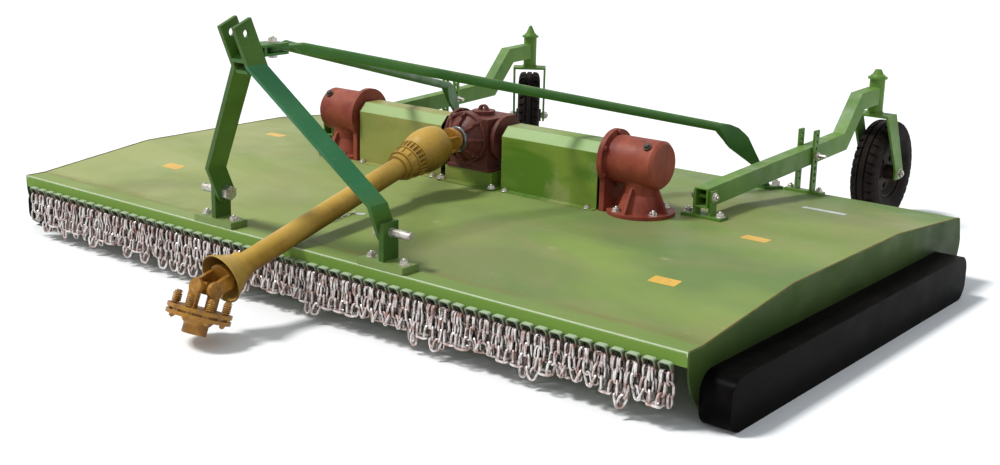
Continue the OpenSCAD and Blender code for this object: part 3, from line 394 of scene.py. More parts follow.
def chain_steel():
    """Bright wire with pink-brown rust in patches, and painted shade where links meet."""
    m = Nodes("chain_steel")
    rust = m.ramp(m.noise(40, 5, 0.65), 0.43, 0.62)
    colour = m.mix(rust, srgb(226, 220, 216), srgb(162, 126, 116))
    colour = m.over(colour, m.ramp(m.noise(120, 4), 0.56, 0.7), 0.5, srgb(82, 58, 52))
    # Painted shade where links are close to each other.
    crevice_shade = m.add("ShaderNodeAmbientOcclusion", Distance=0.03).outputs["AO"]
    colour = m.mix(m.ramp(crevice_shade, 0.75, 0.3), colour, srgb(40, 30, 28))
    m.bump(m.noise(320, 3), 0.3, 0.0006)
    return m.finish(colour, m.ramp(rust, 0.0, 1.0, 0.22, 0.5), m.ramp(rust, 0.0, 1.0, 0.4, 0.1))


def strap_paint():
    """Grey-green straps, pale on top as painted light and darker on the fronts as painted shade, with painted
    highlights on the edges and rust where the chains rub.
    """
    m = Nodes("strap_paint")
    # Pale tops and darker fronts: painted light and shade.
    colour = m.mix(m.ramp(m.facing_up(), 0.3, 0.95), srgb(92, 106, 74), srgb(166, 182, 152))
    # Pale edges: a painted highlight.
    colour = m.over(colour, m.edges(0.0022), 0.6, srgb(206, 216, 196))
    rust = m.mix(m.ramp(m.noise(90, 4, 0.6), 0.35, 0.65), srgb(84, 62, 54), srgb(128, 100, 90))
    rubbed = m.times(m.ramp(m.axis("Z"), 0.189, 0.176), m.ramp(m.noise(55, 4, 0.6), 0.2, 0.5, 0.6, 1.0))
    colour = m.mix(rubbed, colour, rust)
    m.bump(m.noise(260, 3), 0.3, 0.0008)
    return m.finish(colour, m.uneven(60, 4, 0.35, 0.6), 0.0, 0.35)


def tyre_rubber():
    """Dark rubber with brown dust."""
    m = Nodes("tyre_rubber")
    colour = m.mix(m.ramp(m.noise(9, 5, 0.6), 0.4, 0.7), srgb(18, 15, 13), srgb(32, 26, 23))
    colour = m.over(colour, m.ramp(m.noise(40, 6, 0.7), 0.55, 0.75), 0.4, srgb(88, 66, 54))
    m.bump(m.noise(240, 4), 0.25, 0.0008)
    return m.finish(colour, m.uneven(20, 4, 0.6, 0.8), 0.0, 0.08)


def two_tone(name, low, high, patches, grain, rough, metallic=0.0, specular=0.5):
    """Two colours in patches under a fine grain.

    patches is a noise and its two limits, grain a noise with its strength and height in metres, and rough a
    noise with the two ends of the roughness.
    """
    m = Nodes(name)
    *noise, start, end = patches
    colour = m.mix(m.ramp(m.noise(*noise), start, end), low, high)
    *noise, strength, height = grain
    m.bump(m.noise(*noise), strength, height)
    return m.finish(colour, m.uneven(*rough), metallic, specular)


TWO_TONE = {
    "zinc": (
        srgb(196, 194, 188), srgb(150, 136, 122),
        (60, 5, 0.6, 0.4, 0.7), (300, 3, 0.15, 0.0004), (90, 4, 0.28, 0.5), 0.85,
    ),
    "dark_steel": (
        srgb(30, 26, 24), srgb(62, 44, 35),
        (14, 6, 0.65, 0.4, 0.7), (150, 4, 0.3, 0.001), (25, 5, 0.45, 0.7), 0.1, 0.15,
    ),
    "seal_steel": (
        srgb(150, 152, 156), srgb(98, 98, 100),
        (40, 4, 0.6, 0.4, 0.7), (260, 3, 0.15, 0.0004), (60, 4, 0.22, 0.4), 0.8,
    ),
    "sticker_yellow": (
        srgb(212, 164, 44), srgb(196, 152, 56),
        (30, 5, 0.6, 0.45, 0.75), (400, 2, 0.08, 0.0003), (60, 4, 0.3, 0.42),
    ),
    "plate_metal": (
        srgb(206, 208, 206), srgb(176, 180, 176),
        (25, 5, 0.6, 0.4, 0.7), (300, 2, 0.1, 0.0003), (60, 4, 0.3, 0.45), 0.4,
    ),
    "brown_gap": (
        srgb(104, 74, 22), srgb(128, 94, 34),
        (60, 4, 0.6, 0.4, 0.7), (300, 2, 0.1, 0.0004), (50, 4, 0.5, 0.7), 0.0, 0.2,
    ),
    "dark_gap": (
        srgb(42, 34, 26), srgb(62, 50, 36),
        (60, 4, 0.6, 0.4, 0.7), (300, 2, 0.1, 0.0004), (50, 4, 0.5, 0.7),
    ),
    "rust": (
        srgb(122, 92, 52), srgb(96, 104, 52),
        (40, 6, 0.65, 0.4, 0.7), (240, 4, 0.4, 0.0008), (50, 4, 0.6, 0.8),
    ),
}


def make_materials():
    mats = {name: two_tone(name, *look) for name, look in TWO_TONE.items()}
    mats.update({
        "deck_paint": deck_paint(),
        "side_paint": side_paint(),
        "cover_paint": cover_paint(),
        "mast_paint": mast_paint(),
        "frame_paint": painted("frame_paint", srgb(70, 108, 32), srgb(96, 132, 50), 5),
        "lug_paint": painted("lug_paint", srgb(38, 72, 12), srgb(60, 92, 26), 6, (srgb(118, 138, 74), 0.262)),
        "stay_paint": painted("stay_paint", srgb(44, 90, 30), srgb(64, 108, 44), 4),
        "rusty_fork": rusty_fork(),
        "skid_paint": skid_paint(),
        "primer": primer("primer", srgb(108, 44, 32), srgb(154, 78, 56)),
        "primer_dark": primer("primer_dark", srgb(76, 36, 30), srgb(112, 58, 48)),
        "guard_plastic": guard_plastic(),
        "joint_paint": joint_paint(),
        "chain_steel": chain_steel(),
        "strap_paint": strap_paint(),
        "tyre_rubber": tyre_rubber(),
    })
    return mats


# Floor, world and lamps

FLOOR_SIZE = 60
SKY_STRENGTH = 0.55


def add_stage():
    """A wide white floor under a pale blue sky that camera, glossy and transmission rays see as white."""
    bpy.ops.mesh.primitive_plane_add(size=FLOOR_SIZE, location=(0, 0, 0))
    floor = bpy.context.active_object
    floor.name = "floor"
    mat = bpy.data.materials.new("floor_white")
    mat.use_nodes = True
    shader = mat.node_tree.nodes["Principled BSDF"]
    shader.inputs["Base Color"].default_value = (0.9, 0.9, 0.89, 1)
    shader.inputs["Roughness"].default_value = 0.9
    floor.data.materials.append(mat)
    world = bpy.data.worlds.new("world")
    bpy.context.scene.world = world
    world.use_nodes = True
    w = world.node_tree
    light_path = w.nodes.new("ShaderNodeLightPath")
    mix = w.nodes.new("ShaderNodeMixShader")
    seen = w.nodes.new("ShaderNodeBackground")
    seen.inputs["Color"].default_value = (1, 1, 1, 1)
    seen.inputs["Strength"].default_value = 1.0
    sky = w.nodes["Background"]
    sky.inputs["Color"].default_value = (0.86, 0.93, 1.0, 1)
    sky.inputs["Strength"].default_value = SKY_STRENGTH
    shown = light_path.outputs["Is Camera Ray"]
    for kind in ("Is Glossy Ray", "Is Transmission Ray"):
        either = w.nodes.new("ShaderNodeMath")
        either.operation = "MAXIMUM"
        w.links.new(shown, either.inputs[0])
        w.links.new(light_path.outputs[kind], either.inputs[1])
        shown = either.outputs[0]
    w.links.new(shown, mix.inputs[0])
    w.links.new(sky.outputs[0], mix.inputs[1])
    w.links.new(seen.outputs[0], mix.inputs[2])
    w.links.new(mix.outputs[0], w.nodes["World Output"].inputs["Surface"])


def add_lamp(name, energy, angle, direction):
    data = bpy.data.lights.new(name, "SUN")
    data.energy = energy
    data.angle = math.radians(angle)
    lamp = bpy.data.objects.new(name, data)
    lamp.rotation_euler = Vector(direction).to_track_quat("-Z", "Y").to_euler()
    bpy.context.collection.objects.link(lamp)


# Nodes and their finishes

FINISHES = {
    "deck_paint": ["deck", "rear_skirt", "deck_stiffeners"],
    "side_paint": ["side_plates"],
    "cover_paint": ["shaft_covers", "pedestal"],
    "lug_paint": ["hitch_lugs"],
    "frame_paint": [
        "arm_brackets", "castor_arm_right", "castor_arm_left", "height_bars", "fork_right", "chain_loops",
    ],
    "rusty_fork": ["fork_left"],
    "mast_paint": ["mast_legs"],
    "stay_paint": ["mast_spacers", "stay_bracket", "stays"],
    "skid_paint": ["skids"],
    "primer": ["side_gearbox_right", "side_gearbox_left"],
    "primer_dark": ["centre_gearbox"],
    "guard_plastic": ["guard_rear", "guard_front"],
    "joint_paint": ["input_yoke", "shaft_rear", "shaft_front", "clutch_plates", "clutch_springs", "clutch_hub"],
    "zinc": ["hitch_pins", "height_bolts", "axle_right", "axle_left"],
    "chain_steel": ["chain_curtain", "cutting_chains_right", "cutting_chains_left"],
    "dark_steel": ["rim_right", "rim_left", "rotor_right", "rotor_left", "cross_shafts"],
    "tyre_rubber": ["tyre_right", "tyre_left"],
}


def paint_nodes():
    for finish, names in FINISHES.items():
        for name in names:
            mesh = NODES[name].data
            mesh.materials.clear()
            mesh.materials.append(MATS[finish])


# Mesh helpers. Small forms are drawn in millimetres and placed by a matrix that also turns them to metres.


class Shape:
    """Vertices and faces gathered from many small forms, made into one mesh at the end."""

    def __init__(self):
        self.verts = []
        self.faces = []
        self.slots = []

    def add(self, form, place, slot=0):
        verts, faces = form
        base = len(self.verts)
        self.verts += [tuple(place @ Vector(v)) for v in verts]
        self.faces += [[base + i for i in f] for f in faces]
        self.slots += [slot] * len(faces)

    def build(self, name, mats, body, sharp=35):
        mesh = bpy.data.meshes.new(name)
        mesh.from_pydata(self.verts, [], self.faces)
        for m in mats:
            mesh.materials.append(MATS[m])
        mesh.polygons.foreach_set("material_index", self.slots)
        mesh.polygons.foreach_set("use_smooth", [True] * len(self.faces))
        mesh.update()
        mesh.set_sharp_from_angle(angle=math.radians(sharp))
        obj = bpy.data.objects.new(name, mesh)
        bpy.context.collection.objects.link(obj)
        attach(obj, body)
        return obj


def moved(x, y, z):
    return Matrix.Translation((x, y, z))


def turned(degrees, axis):
    return Matrix.Rotation(math.radians(degrees), 4, axis)


def placed(x, y, z, turn=None):
    """Matrix from millimetres round a point of the deck frame to the row frame, turned by turn first."""
    m = Matrix.Translation(at(x, y, z))
    if turn is not None:
        m = m @ turn
    return m @ Matrix.Scale(MM, 4)


def on_deck(x, y, spin=0.0, lift=0.0):
    """Matrix to a point of the deck's top, tilted with the sheet."""
    slope = math.degrees(math.atan2(deck_z(y + 5) - deck_z(y - 5), 10))
    return placed(x, y, deck_z(y) + lift, turned(slope, "X") @ turned(spin, "Z"))


def ring(radius, z, sides):
    """Points of a circle round z."""
    angles = [2 * math.pi * k / sides for k in range(sides)]
    return [(radius * math.cos(a), radius * math.sin(a), z) for a in angles]


def grid(rows, closed=False, cap=True):
    """A form from rows of points that are rings, joined row to row. Closed joins the last row to the first."""
    n, m = len(rows), len(rows[0])
    verts = [p for row in rows for p in row]
    faces = []
    for i in range(n if closed else n - 1):
        j = (i + 1) % n
        for k in range(m):
            q = (k + 1) % m
            faces.append([i * m + k, i * m + q, j * m + q, j * m + k])
    if cap and not closed:
        faces.append(list(range(m))[::-1])
        faces.append([(n - 1) * m + k for k in range(m)])
    return verts, faces


def turned_form(profile, sides, closed=False, cap=True):
    """A form turned round z from (radius, z) points."""
    return grid([ring(r, z, sides) for r, z in profile], closed, cap)


def tube_form(points, radius, sides, closed=False):
    """A round tube along points."""
    rows = []
    n = len(points)
    side = None
    for i, p in enumerate(points):
        a = points[(i - 1) % n] if closed or i > 0 else p
        b = points[(i + 1) % n] if closed or i < n - 1 else p
        run = (Vector(b) - Vector(a)).normalized()
        if side is None:
            side = run.orthogonal().normalized()
        side = (side - run * side.dot(run)).normalized()
        up = run.cross(side)
        rows.append([Vector(p) + (side * x + up * y) * radius for x, y, _ in ring(1, 0, sides)])
    return grid(rows, closed)


def link_form(length, width, wire, steps=5, sides=6):
    """A round wire link in the xz plane, long along z, round the origin."""
    r = (width - wire) / 2
    s = (length - width) / 2
    rows = []
    for half, shift in ((0, s), (math.pi, -s)):
        for k in range(steps + 1):
            a = half + math.pi * k / steps
            out = Vector((math.cos(a), 0, math.sin(a)))
            mid = out * r + Vector((0, 0, shift))
            rows.append([mid + out * x * wire / 2 + Vector((0, y * wire / 2, 0)) for x, y, _ in ring(1, 0, sides)])
    return grid(rows, True)


def rounded_outline(w, h, r, steps=4):
    """Outline of a rounded rectangle round the origin, as points each with its outward direction."""
    points = []
    x, y = w / 2 - r, h / 2 - r
    for corner, (cx, cy) in enumerate(((x, y), (-x, y), (-x, -y), (x, -y))):
        for k in range(steps + 1):
            a = math.radians(90 * corner + 90 * k / steps)
            points.append((cx + r * math.cos(a), cy + r * math.sin(a), math.cos(a), math.sin(a)))
    return points


def plate_form(w, d, t, r=5.0):
    """A flat plate with rounded corners, t thick."""
    outline = rounded_outline(w, d, r)
    return grid([[(x, y, z) for x, y, _, _ in outline] for z in (0, t)])


def add_bolt(shape, place, flats, height, washer=True, stub=6):
    """A hexagon nut or head with a chamfered top on a round washer, drawn a little over the plain one of the solids."""
    r = (flats + 1.2) / math.sqrt(3)
    top = height + 0.6
    shape.add(turned_form([(r, 0), (r, top - 1.8), (r * 0.9, top)], 6), place)
    if washer:
        shape.add(turned_form([(r * 1.28, 0), (r * 1.28, 2.0), (r * 1.22, 2.6)], 20), place)
    if stub:
        t = flats * 0.27
        shape.add(turned_form([(t, top - 0.1), (t, top + stub - 1.5), (t * 0.8, top + stub)], 14), place)


# Chain curtain

LOOPS = 57
LOOP_PITCH = 52.6
LOOP_Y = -3.5
STRAP_Z = 171.0
STRAP_W = 37.5
STRAP_H = 30.5
STRAP_R = 8
STRAP_T = 4.6
STRAP_D = 6.5
LINK = (50, 29, 8)
PITCH = LINK[0] - 2 * LINK[2]
# Straps from which a free end hangs
FREE = {3, 14, 22, 29, 38, 46, 53}
# Distances from a strap's middle to the chains of the front run and of the run behind it
FRONT_OUT = 12
BACK_OUT = 4


def settle(a, b, count):
    """Joints of a chain of count links hung between a and b, settled under gravity."""
    steps, slow_from, passes, drag = 160, 120, 14, 0.9
    sag = PITCH * count * 0.4
    pts = [a.lerp(b, k / count) - Vector((0, 0, sag * math.sin(math.pi * k / count))) for k in range(count + 1)]
    speed = [Vector((0, 0, 0)) for _ in pts]
    for step in range(steps):
        old = [p.copy() for p in pts]
        for i in range(1, count):
            speed[i] = speed[i] * drag + Vector((0, 0, -1.2 if step < slow_from else -0.2))
            pts[i] += speed[i]
        for _ in range(passes):
            for i in range(count):
                gap = pts[i + 1] - pts[i]
                fix = gap * (0.5 * (1 - PITCH / max(gap.length, 0.001)))
                if i > 0:
                    pts[i] += fix * (2 if i + 1 == count else 1)
                if i + 1 < count:
                    pts[i + 1] -= fix * (2 if i == 0 else 1)
        for i in range(1, count):
            speed[i] = (pts[i] - old[i]) * drag
    return pts


def add_links(shape, pts, form, rng):
    """Links from joint to joint, each rolled a quarter turn from the last, less freely at the two ends."""
    wobble = 18
    for k in range(len(pts) - 1):
        turn = (pts[k] - pts[k + 1]).to_track_quat("Z", "Y").to_matrix().to_4x4()
        mid = (pts[k] + pts[k + 1]) / 2
        ends = k in (0, len(pts) - 2)
        roll = 90 + 90 * k + rng.uniform(-wobble, wobble) * (0.25 if ends else 1)
        shape.add(form, placed(0, 0, 0) @ Matrix.Translation(mid) @ turn @ turned(roll, "Z"))


def sway(pts, degrees):
    """Joints swung about the first one, towards the front."""
    turn = Matrix.Rotation(math.radians(degrees), 3, "X")
    top = pts[0]
    return [top + turn @ (p - top) for p in pts]


def chain_curtain():
    """Two runs of chain loops from strap to strap, with free ends at a few straps."""
    rng = random.Random(7)
    form = link_form(*LINK)
    shape = Shape()

    def hang(x, count, lean):
        pts = [Vector((x, LOOP_Y, STRAP_Z)) + Vector((0, 0, -PITCH * k)) for k in range(count + 1)]
        add_links(shape, sway(pts, lean), form, rng)

    def loop(a, b, count, lean):
        pts = settle(Vector((a, LOOP_Y, STRAP_Z)), Vector((b, LOOP_Y, STRAP_Z)), count)
        add_links(shape, sway(pts, lean), form, rng)

    for i in range(LOOPS):
        x = (i - (LOOPS - 1) / 2) * LOOP_PITCH
        lean = rng.uniform(2, 8)
        last = i == LOOPS - 1
        if last or i in FREE:
            hang(x + FRONT_OUT, rng.choice([3, 4]), lean)
        else:
            count = rng.choice([6, 7, 7, 8] if i % 3 else [5, 6, 7])
            loop(x + FRONT_OUT, x + LOOP_PITCH - FRONT_OUT, count, lean)
        if i == 0 or i - 1 in FREE:
            hang(x - FRONT_OUT, rng.choice([3, 4]), -lean)
        if not last:
            loop(x + BACK_OUT, x + LOOP_PITCH - BACK_OUT, rng.choice([6, 7, 8]), -lean - 3)
    obj = shape.build("curtain_chains", ["chain_steel"], "frame")
    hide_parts("chain_curtain")


def curtain_straps():
    """Bent straps under the front face, deeper at the top than where the chains hang."""
    rows = []
    for x, z, nx, nz in rounded_outline(STRAP_W, STRAP_H, STRAP_R):
        z += STRAP_H / 2
        front = STRAP_D - 2 * (STRAP_D + 7 * max(0.0, z / STRAP_H - 0.25))
        across = [(front, 0.28), (front + 0.8, 0.5), (STRAP_D - 0.8, 0.5), (STRAP_D, 0.28)]
        across += [(y, -out) for y, out in reversed(across)]
        rows.append([(x + nx * out * STRAP_T, y, z + nz * out * STRAP_T) for y, out in across])
    form = grid(rows, True)
    low = LIP_Z - FACE_H - 25.7
    shape = Shape()
    for i in range(LOOPS):
        x = (i - (LOOPS - 1) / 2) * LOOP_PITCH
        shape.add(form, placed(x, LOOP_Y, low, turned(0.8 * math.sin(i * 2.3), "Y")))
    obj = shape.build("curtain_straps", ["strap_paint"], "frame")
    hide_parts("chain_loops")


# Rotors

CUTTER_X = 580
CUTTER_TOP = 160.5
CUTTER_LINK = (64, 42, 11.5)
CUTTER_PITCH = CUTTER_LINK[0] - 2 * CUTTER_LINK[2]


def cutting_chains(side):
    """Three heavy links under each end of a rotor's bar."""
    form = link_form(*CUTTER_LINK, 6, 8)
    shape = Shape()
    place = placed(side * ROTOR_X, GEAR_Y, 0, turned(90 if side < 0 else 0, "Z"))
    for x in (-CUTTER_X, CUTTER_X):
        for k in range(3):
            mid = moved(x, 0, CUTTER_TOP - CUTTER_PITCH * (k + 0.5))
            shape.add(form, place @ mid @ turned(90 * k + 90, "Z"))
    name = "right" if side > 0 else "left"
    obj = shape.build("cutter_links_" + name, ["chain_steel"], "rotor_" + name)
    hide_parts("cutting_chains_" + name)


# Wheels

TRAIL = 130
TYRE_R = 222
LEFT_TURN = 37
BLOCKS = 34
# Half of the tyre's section, from the bead over the shoulder to the middle, as (distance from the middle, radius)
WALL = [
    (34, 111.7), (41, 113), (43.5, 119), (46, 124), (46.5, 128), (50, 134), (53, 146), (55, 160), (55.6, 172),
    (54.8, 173.5), (54.8, 177), (55.2, 178.5), (54.2, 190), (52, 200), (49.5, 207),
]
TREAD = [(47.5, 211.5), (42.5, 217.5), (36, 220.3), (19, 221.6), (17.6, 213.5), (12.6, 213.5), (11.2, 221.9), (3, 222)]
# Where a block's columns stand, as a share of its pitch, and whether they are in the gap behind it
COLUMNS = [(0.0, False), (0.22, False), (0.44, False), (0.66, False), (0.71, True), (0.95, True)]


def wheel_place(side):
    turn = turned(LEFT_TURN if side < 0 else 0, "Z")
    mid = Vector((side * ARM_X, CASTOR_Y, TYRE_R)) + turn.to_3x3() @ Vector((0, TRAIL, 0))
    return placed(*mid, turn @ turned(90, "Y"))


def tyre(side):
    """Block tread with two round grooves, a ribbed shoulder and a bead over the rim's edge."""
    section = [(1, half, r) for half, r in WALL + TREAD]
    section += [(-1, half, r) for half, r in reversed(WALL + TREAD)]
    rows = []
    for block in range(BLOCKS):
        for share, low in COLUMNS:
            row = []
            for s, half, r in section:
                a = 2 * math.pi * (block + share) / BLOCKS
                if s < 0:
                    a += math.pi / BLOCKS
                if low and half > 19 and r > 199:
                    r -= 11 if r > 213 else 7
                if half > 11 and r > 206:
                    a += (half - 30) * 0.0011
                row.append((r * math.cos(a), r * math.sin(a), s * half))
            rows.append(row)
    shape = Shape()
    shape.add(grid(rows, True), wheel_place(side))
    name = "right" if side > 0 else "left"
    obj = shape.build("tyre_tread_" + name, ["tyre_rubber"], "wheel_" + name, 32)
    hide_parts("tyre_" + name)


# Drive shaft

JOINT_Y = 732
JOINT_Z = 483
DROOP = 15.6
SHAFT_L = 1140
CLUTCH_DROOP = 68
YOKE_L = 66
PACK = 32
SPRINGS = 8
SPRING_OUT = 86
COIL_R = 10.6
COIL_TURNS = 4.6
COIL_L = 28.4
COIL_STEPS = 60


def shaft_place():
    return placed(0, JOINT_Y, JOINT_Z, turned(90 + DROOP, "X"))


def clutch_place():
    droop = math.radians(DROOP)
    front = (0, JOINT_Y - SHAFT_L * math.cos(droop), JOINT_Z - SHAFT_L * math.sin(droop))
    return placed(*front, turned(90 + CLUTCH_DROOP, "X"))


def clutch_springs():
    """Coils on bolts behind the clutch's plates, with a nut in front of them."""
    coil = []
    for k in range(COIL_STEPS + 1):
        t = k / COIL_STEPS
        a = 2 * math.pi * COIL_TURNS * t
        coil.append((COIL_R * math.cos(a), COIL_R * math.sin(a), YOKE_L - 31 + COIL_L * t))
    shape = Shape()
    for i in range(SPRINGS):
        a = math.radians(360 / SPRINGS * (i + 0.5))
        place = clutch_place() @ moved(SPRING_OUT * math.cos(a), SPRING_OUT * math.sin(a), 0)
        shape.add(tube_form(coil, 2.5, 7), place)
        shape.add(turned_form([(7, YOKE_L - 38), (7, YOKE_L - 0.5)], 12), place)
        shape.add(turned_form([(13, YOKE_L - 35), (13, YOKE_L - 33)], 18), place)
        add_bolt(shape, place @ moved(0, 0, YOKE_L - 35) @ turned(180, "X"), 15, 5, False, 0)
        add_bolt(shape, place @ moved(0, 0, YOKE_L + PACK + 0.3), 13, 9, False, 3)
    obj = shape.build("clutch_coils", ["joint_paint"], "clutch")
    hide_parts("clutch_springs")


def bell_r(z):
    """Outer radius of the rear bell at z along the shaft."""
    return 63.4 - 0.1875 * (z - 142)


def bell_pad(z0, z1, low, high, half):
    """A pad on the rear bell from z0 to z1, its faces low and high above the bell."""
    rows = []
    for z in (z0, z1):
        inner, outer = bell_r(z) + low, bell_r(z) + high
        rows.append([(inner, -half, z), (outer, -half, z), (outer, half, z), (inner, half, z)])
    return grid(rows)


def guard_details():
    """Ribs and rings on the rear bell, with thin brown pads between the ribs as painted shade in its slots; on the
    front one a smooth cone with a collar, a seam and a rolled rim.
    """
    place = shaft_place()
    rear = Shape()
    ribs, pads = 24, 12
    for i in range(ribs):
        spin = 360 / ribs * i
        rear.add(bell_pad(137, 166, 0, 3.6, 2.4), place @ turned(spin, "Z"))
        # Thin brown pads between the ribs: painted shade in the slots.
        rear.add(bell_pad(141, 162, 0, 0.6, 4.6), place @ turned(spin + 180 / ribs, "Z"), 1)
    for i in range(pads):
        rear.add(bell_pad(174, 197, 0, 2.4, 8.5), place @ turned(360 / pads * i, "Z"))
    for z in (133, 168, 201):
        r = max(bell_r(z), 50.5)
        rear.add(turned_form([(r, z - 3), (r + 4.4, z - 2), (r + 4.2, z + 2), (r, z + 3)], 48), place)
    rear.build("bell_ribs_rear", ["guard_plastic", "brown_gap"], "rear_half")
    front = Shape()
    neck, rim = SHAFT_L - 155, SHAFT_L - 62
    front.add(tube_form(ring(82.4, rim - 1, 48), 2.6, 8, True), place)
    front.add(turned_form([(38.4, neck - 4), (41.6, neck - 3), (42.2, neck + 8), (40, neck + 10)], 40), place)
    front.add(tube_form(ring(39.4, neck - 5, 40), 1.3, 6, True), place, 1)
    front.build("bell_ribs_front", ["guard_plastic", "brown_gap"], "front_half")


# Deck details

# Middle and turn of each sticker
STICKERS = [(-1123, 404, 0), (-1235, 1059, 2), (1205, 969, -1), (1201, 410, 1)]
STRIP = (1172, 1546)
SEAM_X = 1534.6


def deck_plates():
    """Four plain yellow stickers and a blank strip."""
    shape = Shape()
    for x, y, spin in STICKERS:
        shape.add(plate_form(95, 50, 0.5), on_deck(x, y, spin, 0.05))
    shape.build("blank_stickers", ["sticker_yellow"], "frame")
    strip = Shape()
    strip.add(plate_form(170, 34, 0.8, 3), on_deck(*STRIP, 0, 0.05))
    strip.build("blank_strip", ["plate_metal"], "frame")


def guard_chain():
    """A thin chain that lies on the deck beside the drive shaft, with a blank tag at its end."""
    length, width, wire = 21, 12, 2.8
    form = link_form(length, width, wire, 4, 5)
    pitch = length - 2 * wire
    steps = 59
    line = []
    for k in range(steps + 1):
        t = k / steps
        line.append(Vector((-100 + 44 * t + 9 * math.sin(5.2 * t), 150 + 222 * t, 0)))
    pts = [line[0]]
    for p in line:
        if (p - pts[-1]).length >= pitch:
            pts.append(pts[-1] + (p - pts[-1]).normalized() * pitch)
    shape = Shape()
    for k in range(len(pts) - 1):
        mid = (pts[k] + pts[k + 1]) / 2
        turn = (pts[k + 1] - pts[k]).to_track_quat("Z", "Y").to_matrix().to_4x4()
        roll = turned(45 + 90 * k + 14 * math.sin(3.1 * k), "Z")
        shape.add(form, placed(mid.x, mid.y, deck_z(mid.y) + 5.2, turned(6.5, "X") @ turn @ roll))
    end = pts[-1]
    angles = [math.pi * k / 8 for k in range(9)]
    staple = [Vector((7 * math.cos(a), 0, 9 * math.sin(a) - 1)) for a in angles]
    shape.add(tube_form(staple, 2.6, 7), on_deck(end.x, end.y + 2))
    shape.add(plate_form(34, 17, 0.8, 3), on_deck(end.x + 22, end.y + 14, 20, 0.6), 1)
    shape.build("guard_chain", ["chain_steel", "plate_metal"], "frame")


def weld_seams():
    """A thin rusty seam where the deck meets each side plate."""
    rng = random.Random(3)
    shape = Shape()
    for side in (-1, 1):
        pts = []
        for k in range(97):
            y = 4 + k * 19.9
            pts.append((side * (SEAM_X + rng.uniform(-0.4, 0.4)), y, deck_z(y) + 0.4 + rng.uniform(-0.3, 0.4)))
        shape.add(tube_form(pts, 2.3, 6), placed(0, 0, 0))
    shape.build("weld_seams", ["rust"], "frame")


# Bolts

REAR_SLOPE = math.degrees(math.atan((CROWN_Z - REAR_Z) / (DECK_D - CROWN_END_Y)))
PIVOT_Y = 1107
PIVOT_Z = 373
BARS_Y = 1884
MAST_FOOT = (402.5, 38)
STAY_FOOT = (806, 1838)
STAY_TURN = 22.94
STAY_TOP = (-66.05, 906)
COVER_BOLTS = (180, 556)
FLANGE_R = 96


def arm_z(y):
    """Height of a castor arm's middle line at y."""
    y0, z0 = PIVOT_Y - 30, PIVOT_Z - 2
    y1, z1 = CASTOR_Y - 321, PIVOT_Z + 45
    return z0 + (z1 - z0) * (y - y0) / (y1 - y0)


def arm_bolts(shape, side):
    """Feet and cross bolts of a castor arm's bracket and of its height bars."""
    x = side * ARM_X
    bars = placed(x, BARS_Y, deck_z(BARS_Y), turned(-REAR_SLOPE, "X"))
    for s in (-1, 1):
        add_bolt(shape, placed(x + s * 64, PIVOT_Y, CROWN_Z + 10), 24, 13)
        add_bolt(shape, bars @ moved(s * 62, 0, 11), 22, 12)
        out = turned(90 * s, "Y")
        add_bolt(shape, placed(x + s * 36.3, PIVOT_Y, arm_z(PIVOT_Y), out), 24, 12, True, 5 if s > 0 else 0)
        add_bolt(shape, placed(x + s * 37.1, BARS_Y, arm_z(BARS_Y), out), 24, 13, False, 0)


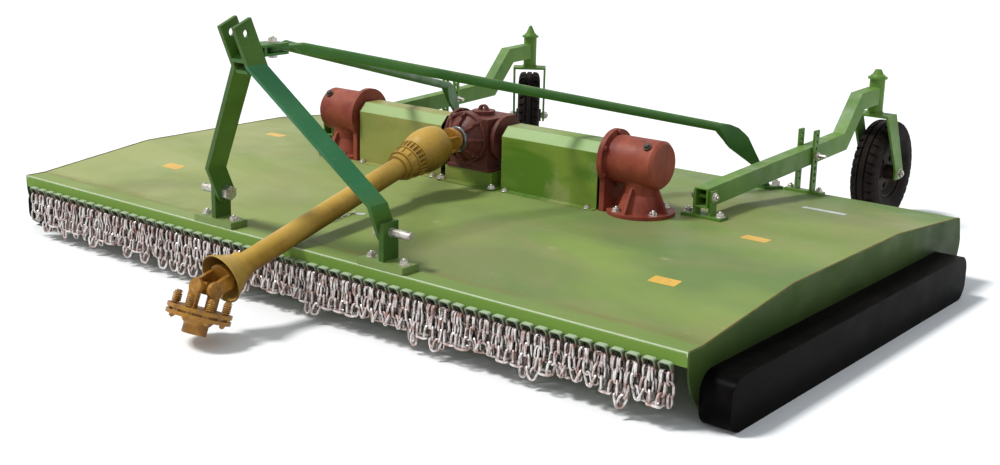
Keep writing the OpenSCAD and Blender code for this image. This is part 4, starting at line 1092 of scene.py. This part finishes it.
def bolts():
    """The zinc bolts and nuts of the frame, and those on the ends of the castors' axles."""
    shape = Shape()
    mast_x, mast_y = MAST_FOOT
    stay_x, stay_y = STAY_FOOT
    for side in (-1, 1):
        arm_bolts(shape, side)
        for dx in (-70.2, 70.2):
            add_bolt(shape, placed(side * (mast_x + dx), mast_y, LIP_Z + 24), 24, 13)
        foot = placed(side * stay_x, stay_y, deck_z(stay_y), turned(-REAR_SLOPE, "X") @ turned(-side * STAY_TURN, "Z"))
        add_bolt(shape, foot @ moved(0, 16, 12), 26, 18)
        for x in COVER_BOLTS:
            for dy in (-89, 89):
                add_bolt(shape, placed(side * x, GEAR_Y + dy, CROWN_Z + 3), 17, 9, True, 4)
        for a in (60, 150, 240, 330):
            x = side * (ROTOR_X + FLANGE_R * math.cos(math.radians(a)))
            add_bolt(shape, placed(x, GEAR_Y + FLANGE_R * math.sin(math.radians(a)), CROWN_Z + 13), 24, 12)
        for dy in (-100, 100):
            add_bolt(shape, placed(side * 125, GEAR_Y + dy, CROWN_Z + 6), 24, 12, True, 5)
    top_y, top_z = STAY_TOP
    add_bolt(shape, placed(0, top_y, top_z + 18), 24, 14)
    add_bolt(shape, placed(0, top_y, top_z - 18, turned(180, "X")), 24, 12, True, 0)
    shape.build("zinc_bolts", ["zinc"], "frame")
    for side, name in ((1, "right"), (-1, "left")):
        nuts = Shape()
        for s in (-1, 1):
            place = wheel_place(side) @ moved(0, 0, s * 81.3) @ turned(0 if s > 0 else 180, "X")
            add_bolt(nuts, place, 28, 14, True, 5)
        nuts.build("axle_nuts_" + name, ["zinc"], "castor_" + name)


# Gearboxes

NOSE_Y = 898
PLUG_Z = 480
# Sections of a web, of the rim and of the seal, as (radius, distance in front of the nose)
WEB = [(43, -1), (98, -1), (98, 12), (91, 17), (60, 50), (43, 53)]
RIM = [(98.4, 0), (98.4, 9), (96.5, 11), (90, 11), (88, 9), (88, 0)]
SEAL = [(46.3, 36), (48, 36), (48, 57), (46.8, 58.4), (37, 58.4), (37, 57.8)]


def gearbox_webs():
    """Webs and a rim ring on the centre gearbox's nose, and the steel seal round its input."""
    shape = Shape()
    place = placed(0, NOSE_Y, JOINT_Z, turned(90, "X"))
    web = grid([[(r, y, z) for r, z in WEB] for y in (-5, 5)])
    for k in range(8):
        shape.add(web, place @ turned(45 * k, "Z"))
    shape.add(turned_form(RIM, 48, True), place)
    shape.add(turned_form(SEAL, 40, cap=False), place, 1)
    shape.build("gearbox_webs", ["primer_dark", "seal_steel"], "frame")


def gearbox_plugs():
    """A dark oil plug on the barrel of each side gearbox."""
    shape = Shape()
    for side in (-1, 1):
        place = placed(side * (ROTOR_X + 50), GEAR_Y, PLUG_Z, turned(38, "X")) @ moved(0, 0, 92)
        add_bolt(shape, place, 17, 9, False, 0)
        shape.add(turned_form([(15.6, -12), (15.6, -1), (14.4, 0.4)], 20), place)
    shape.build("gearbox_plugs", ["dark_gap"], "frame")


add_camera()
MATS = make_materials()
paint_nodes()
chain_curtain()
curtain_straps()
for side in (-1, 1):
    cutting_chains(side)
    tyre(side)
clutch_springs()
guard_details()
deck_plates()
guard_chain()
weld_seams()
bolts()
gearbox_webs()
gearbox_plugs()
add_stage()
add_lamp("sun", 2.9, 12, (0.45, 0.45, -1.0))
add_lamp("fill", 0.25, 60, (-0.6, 0.8, -0.35))
bpy.context.scene.view_settings.view_transform = "Standard"
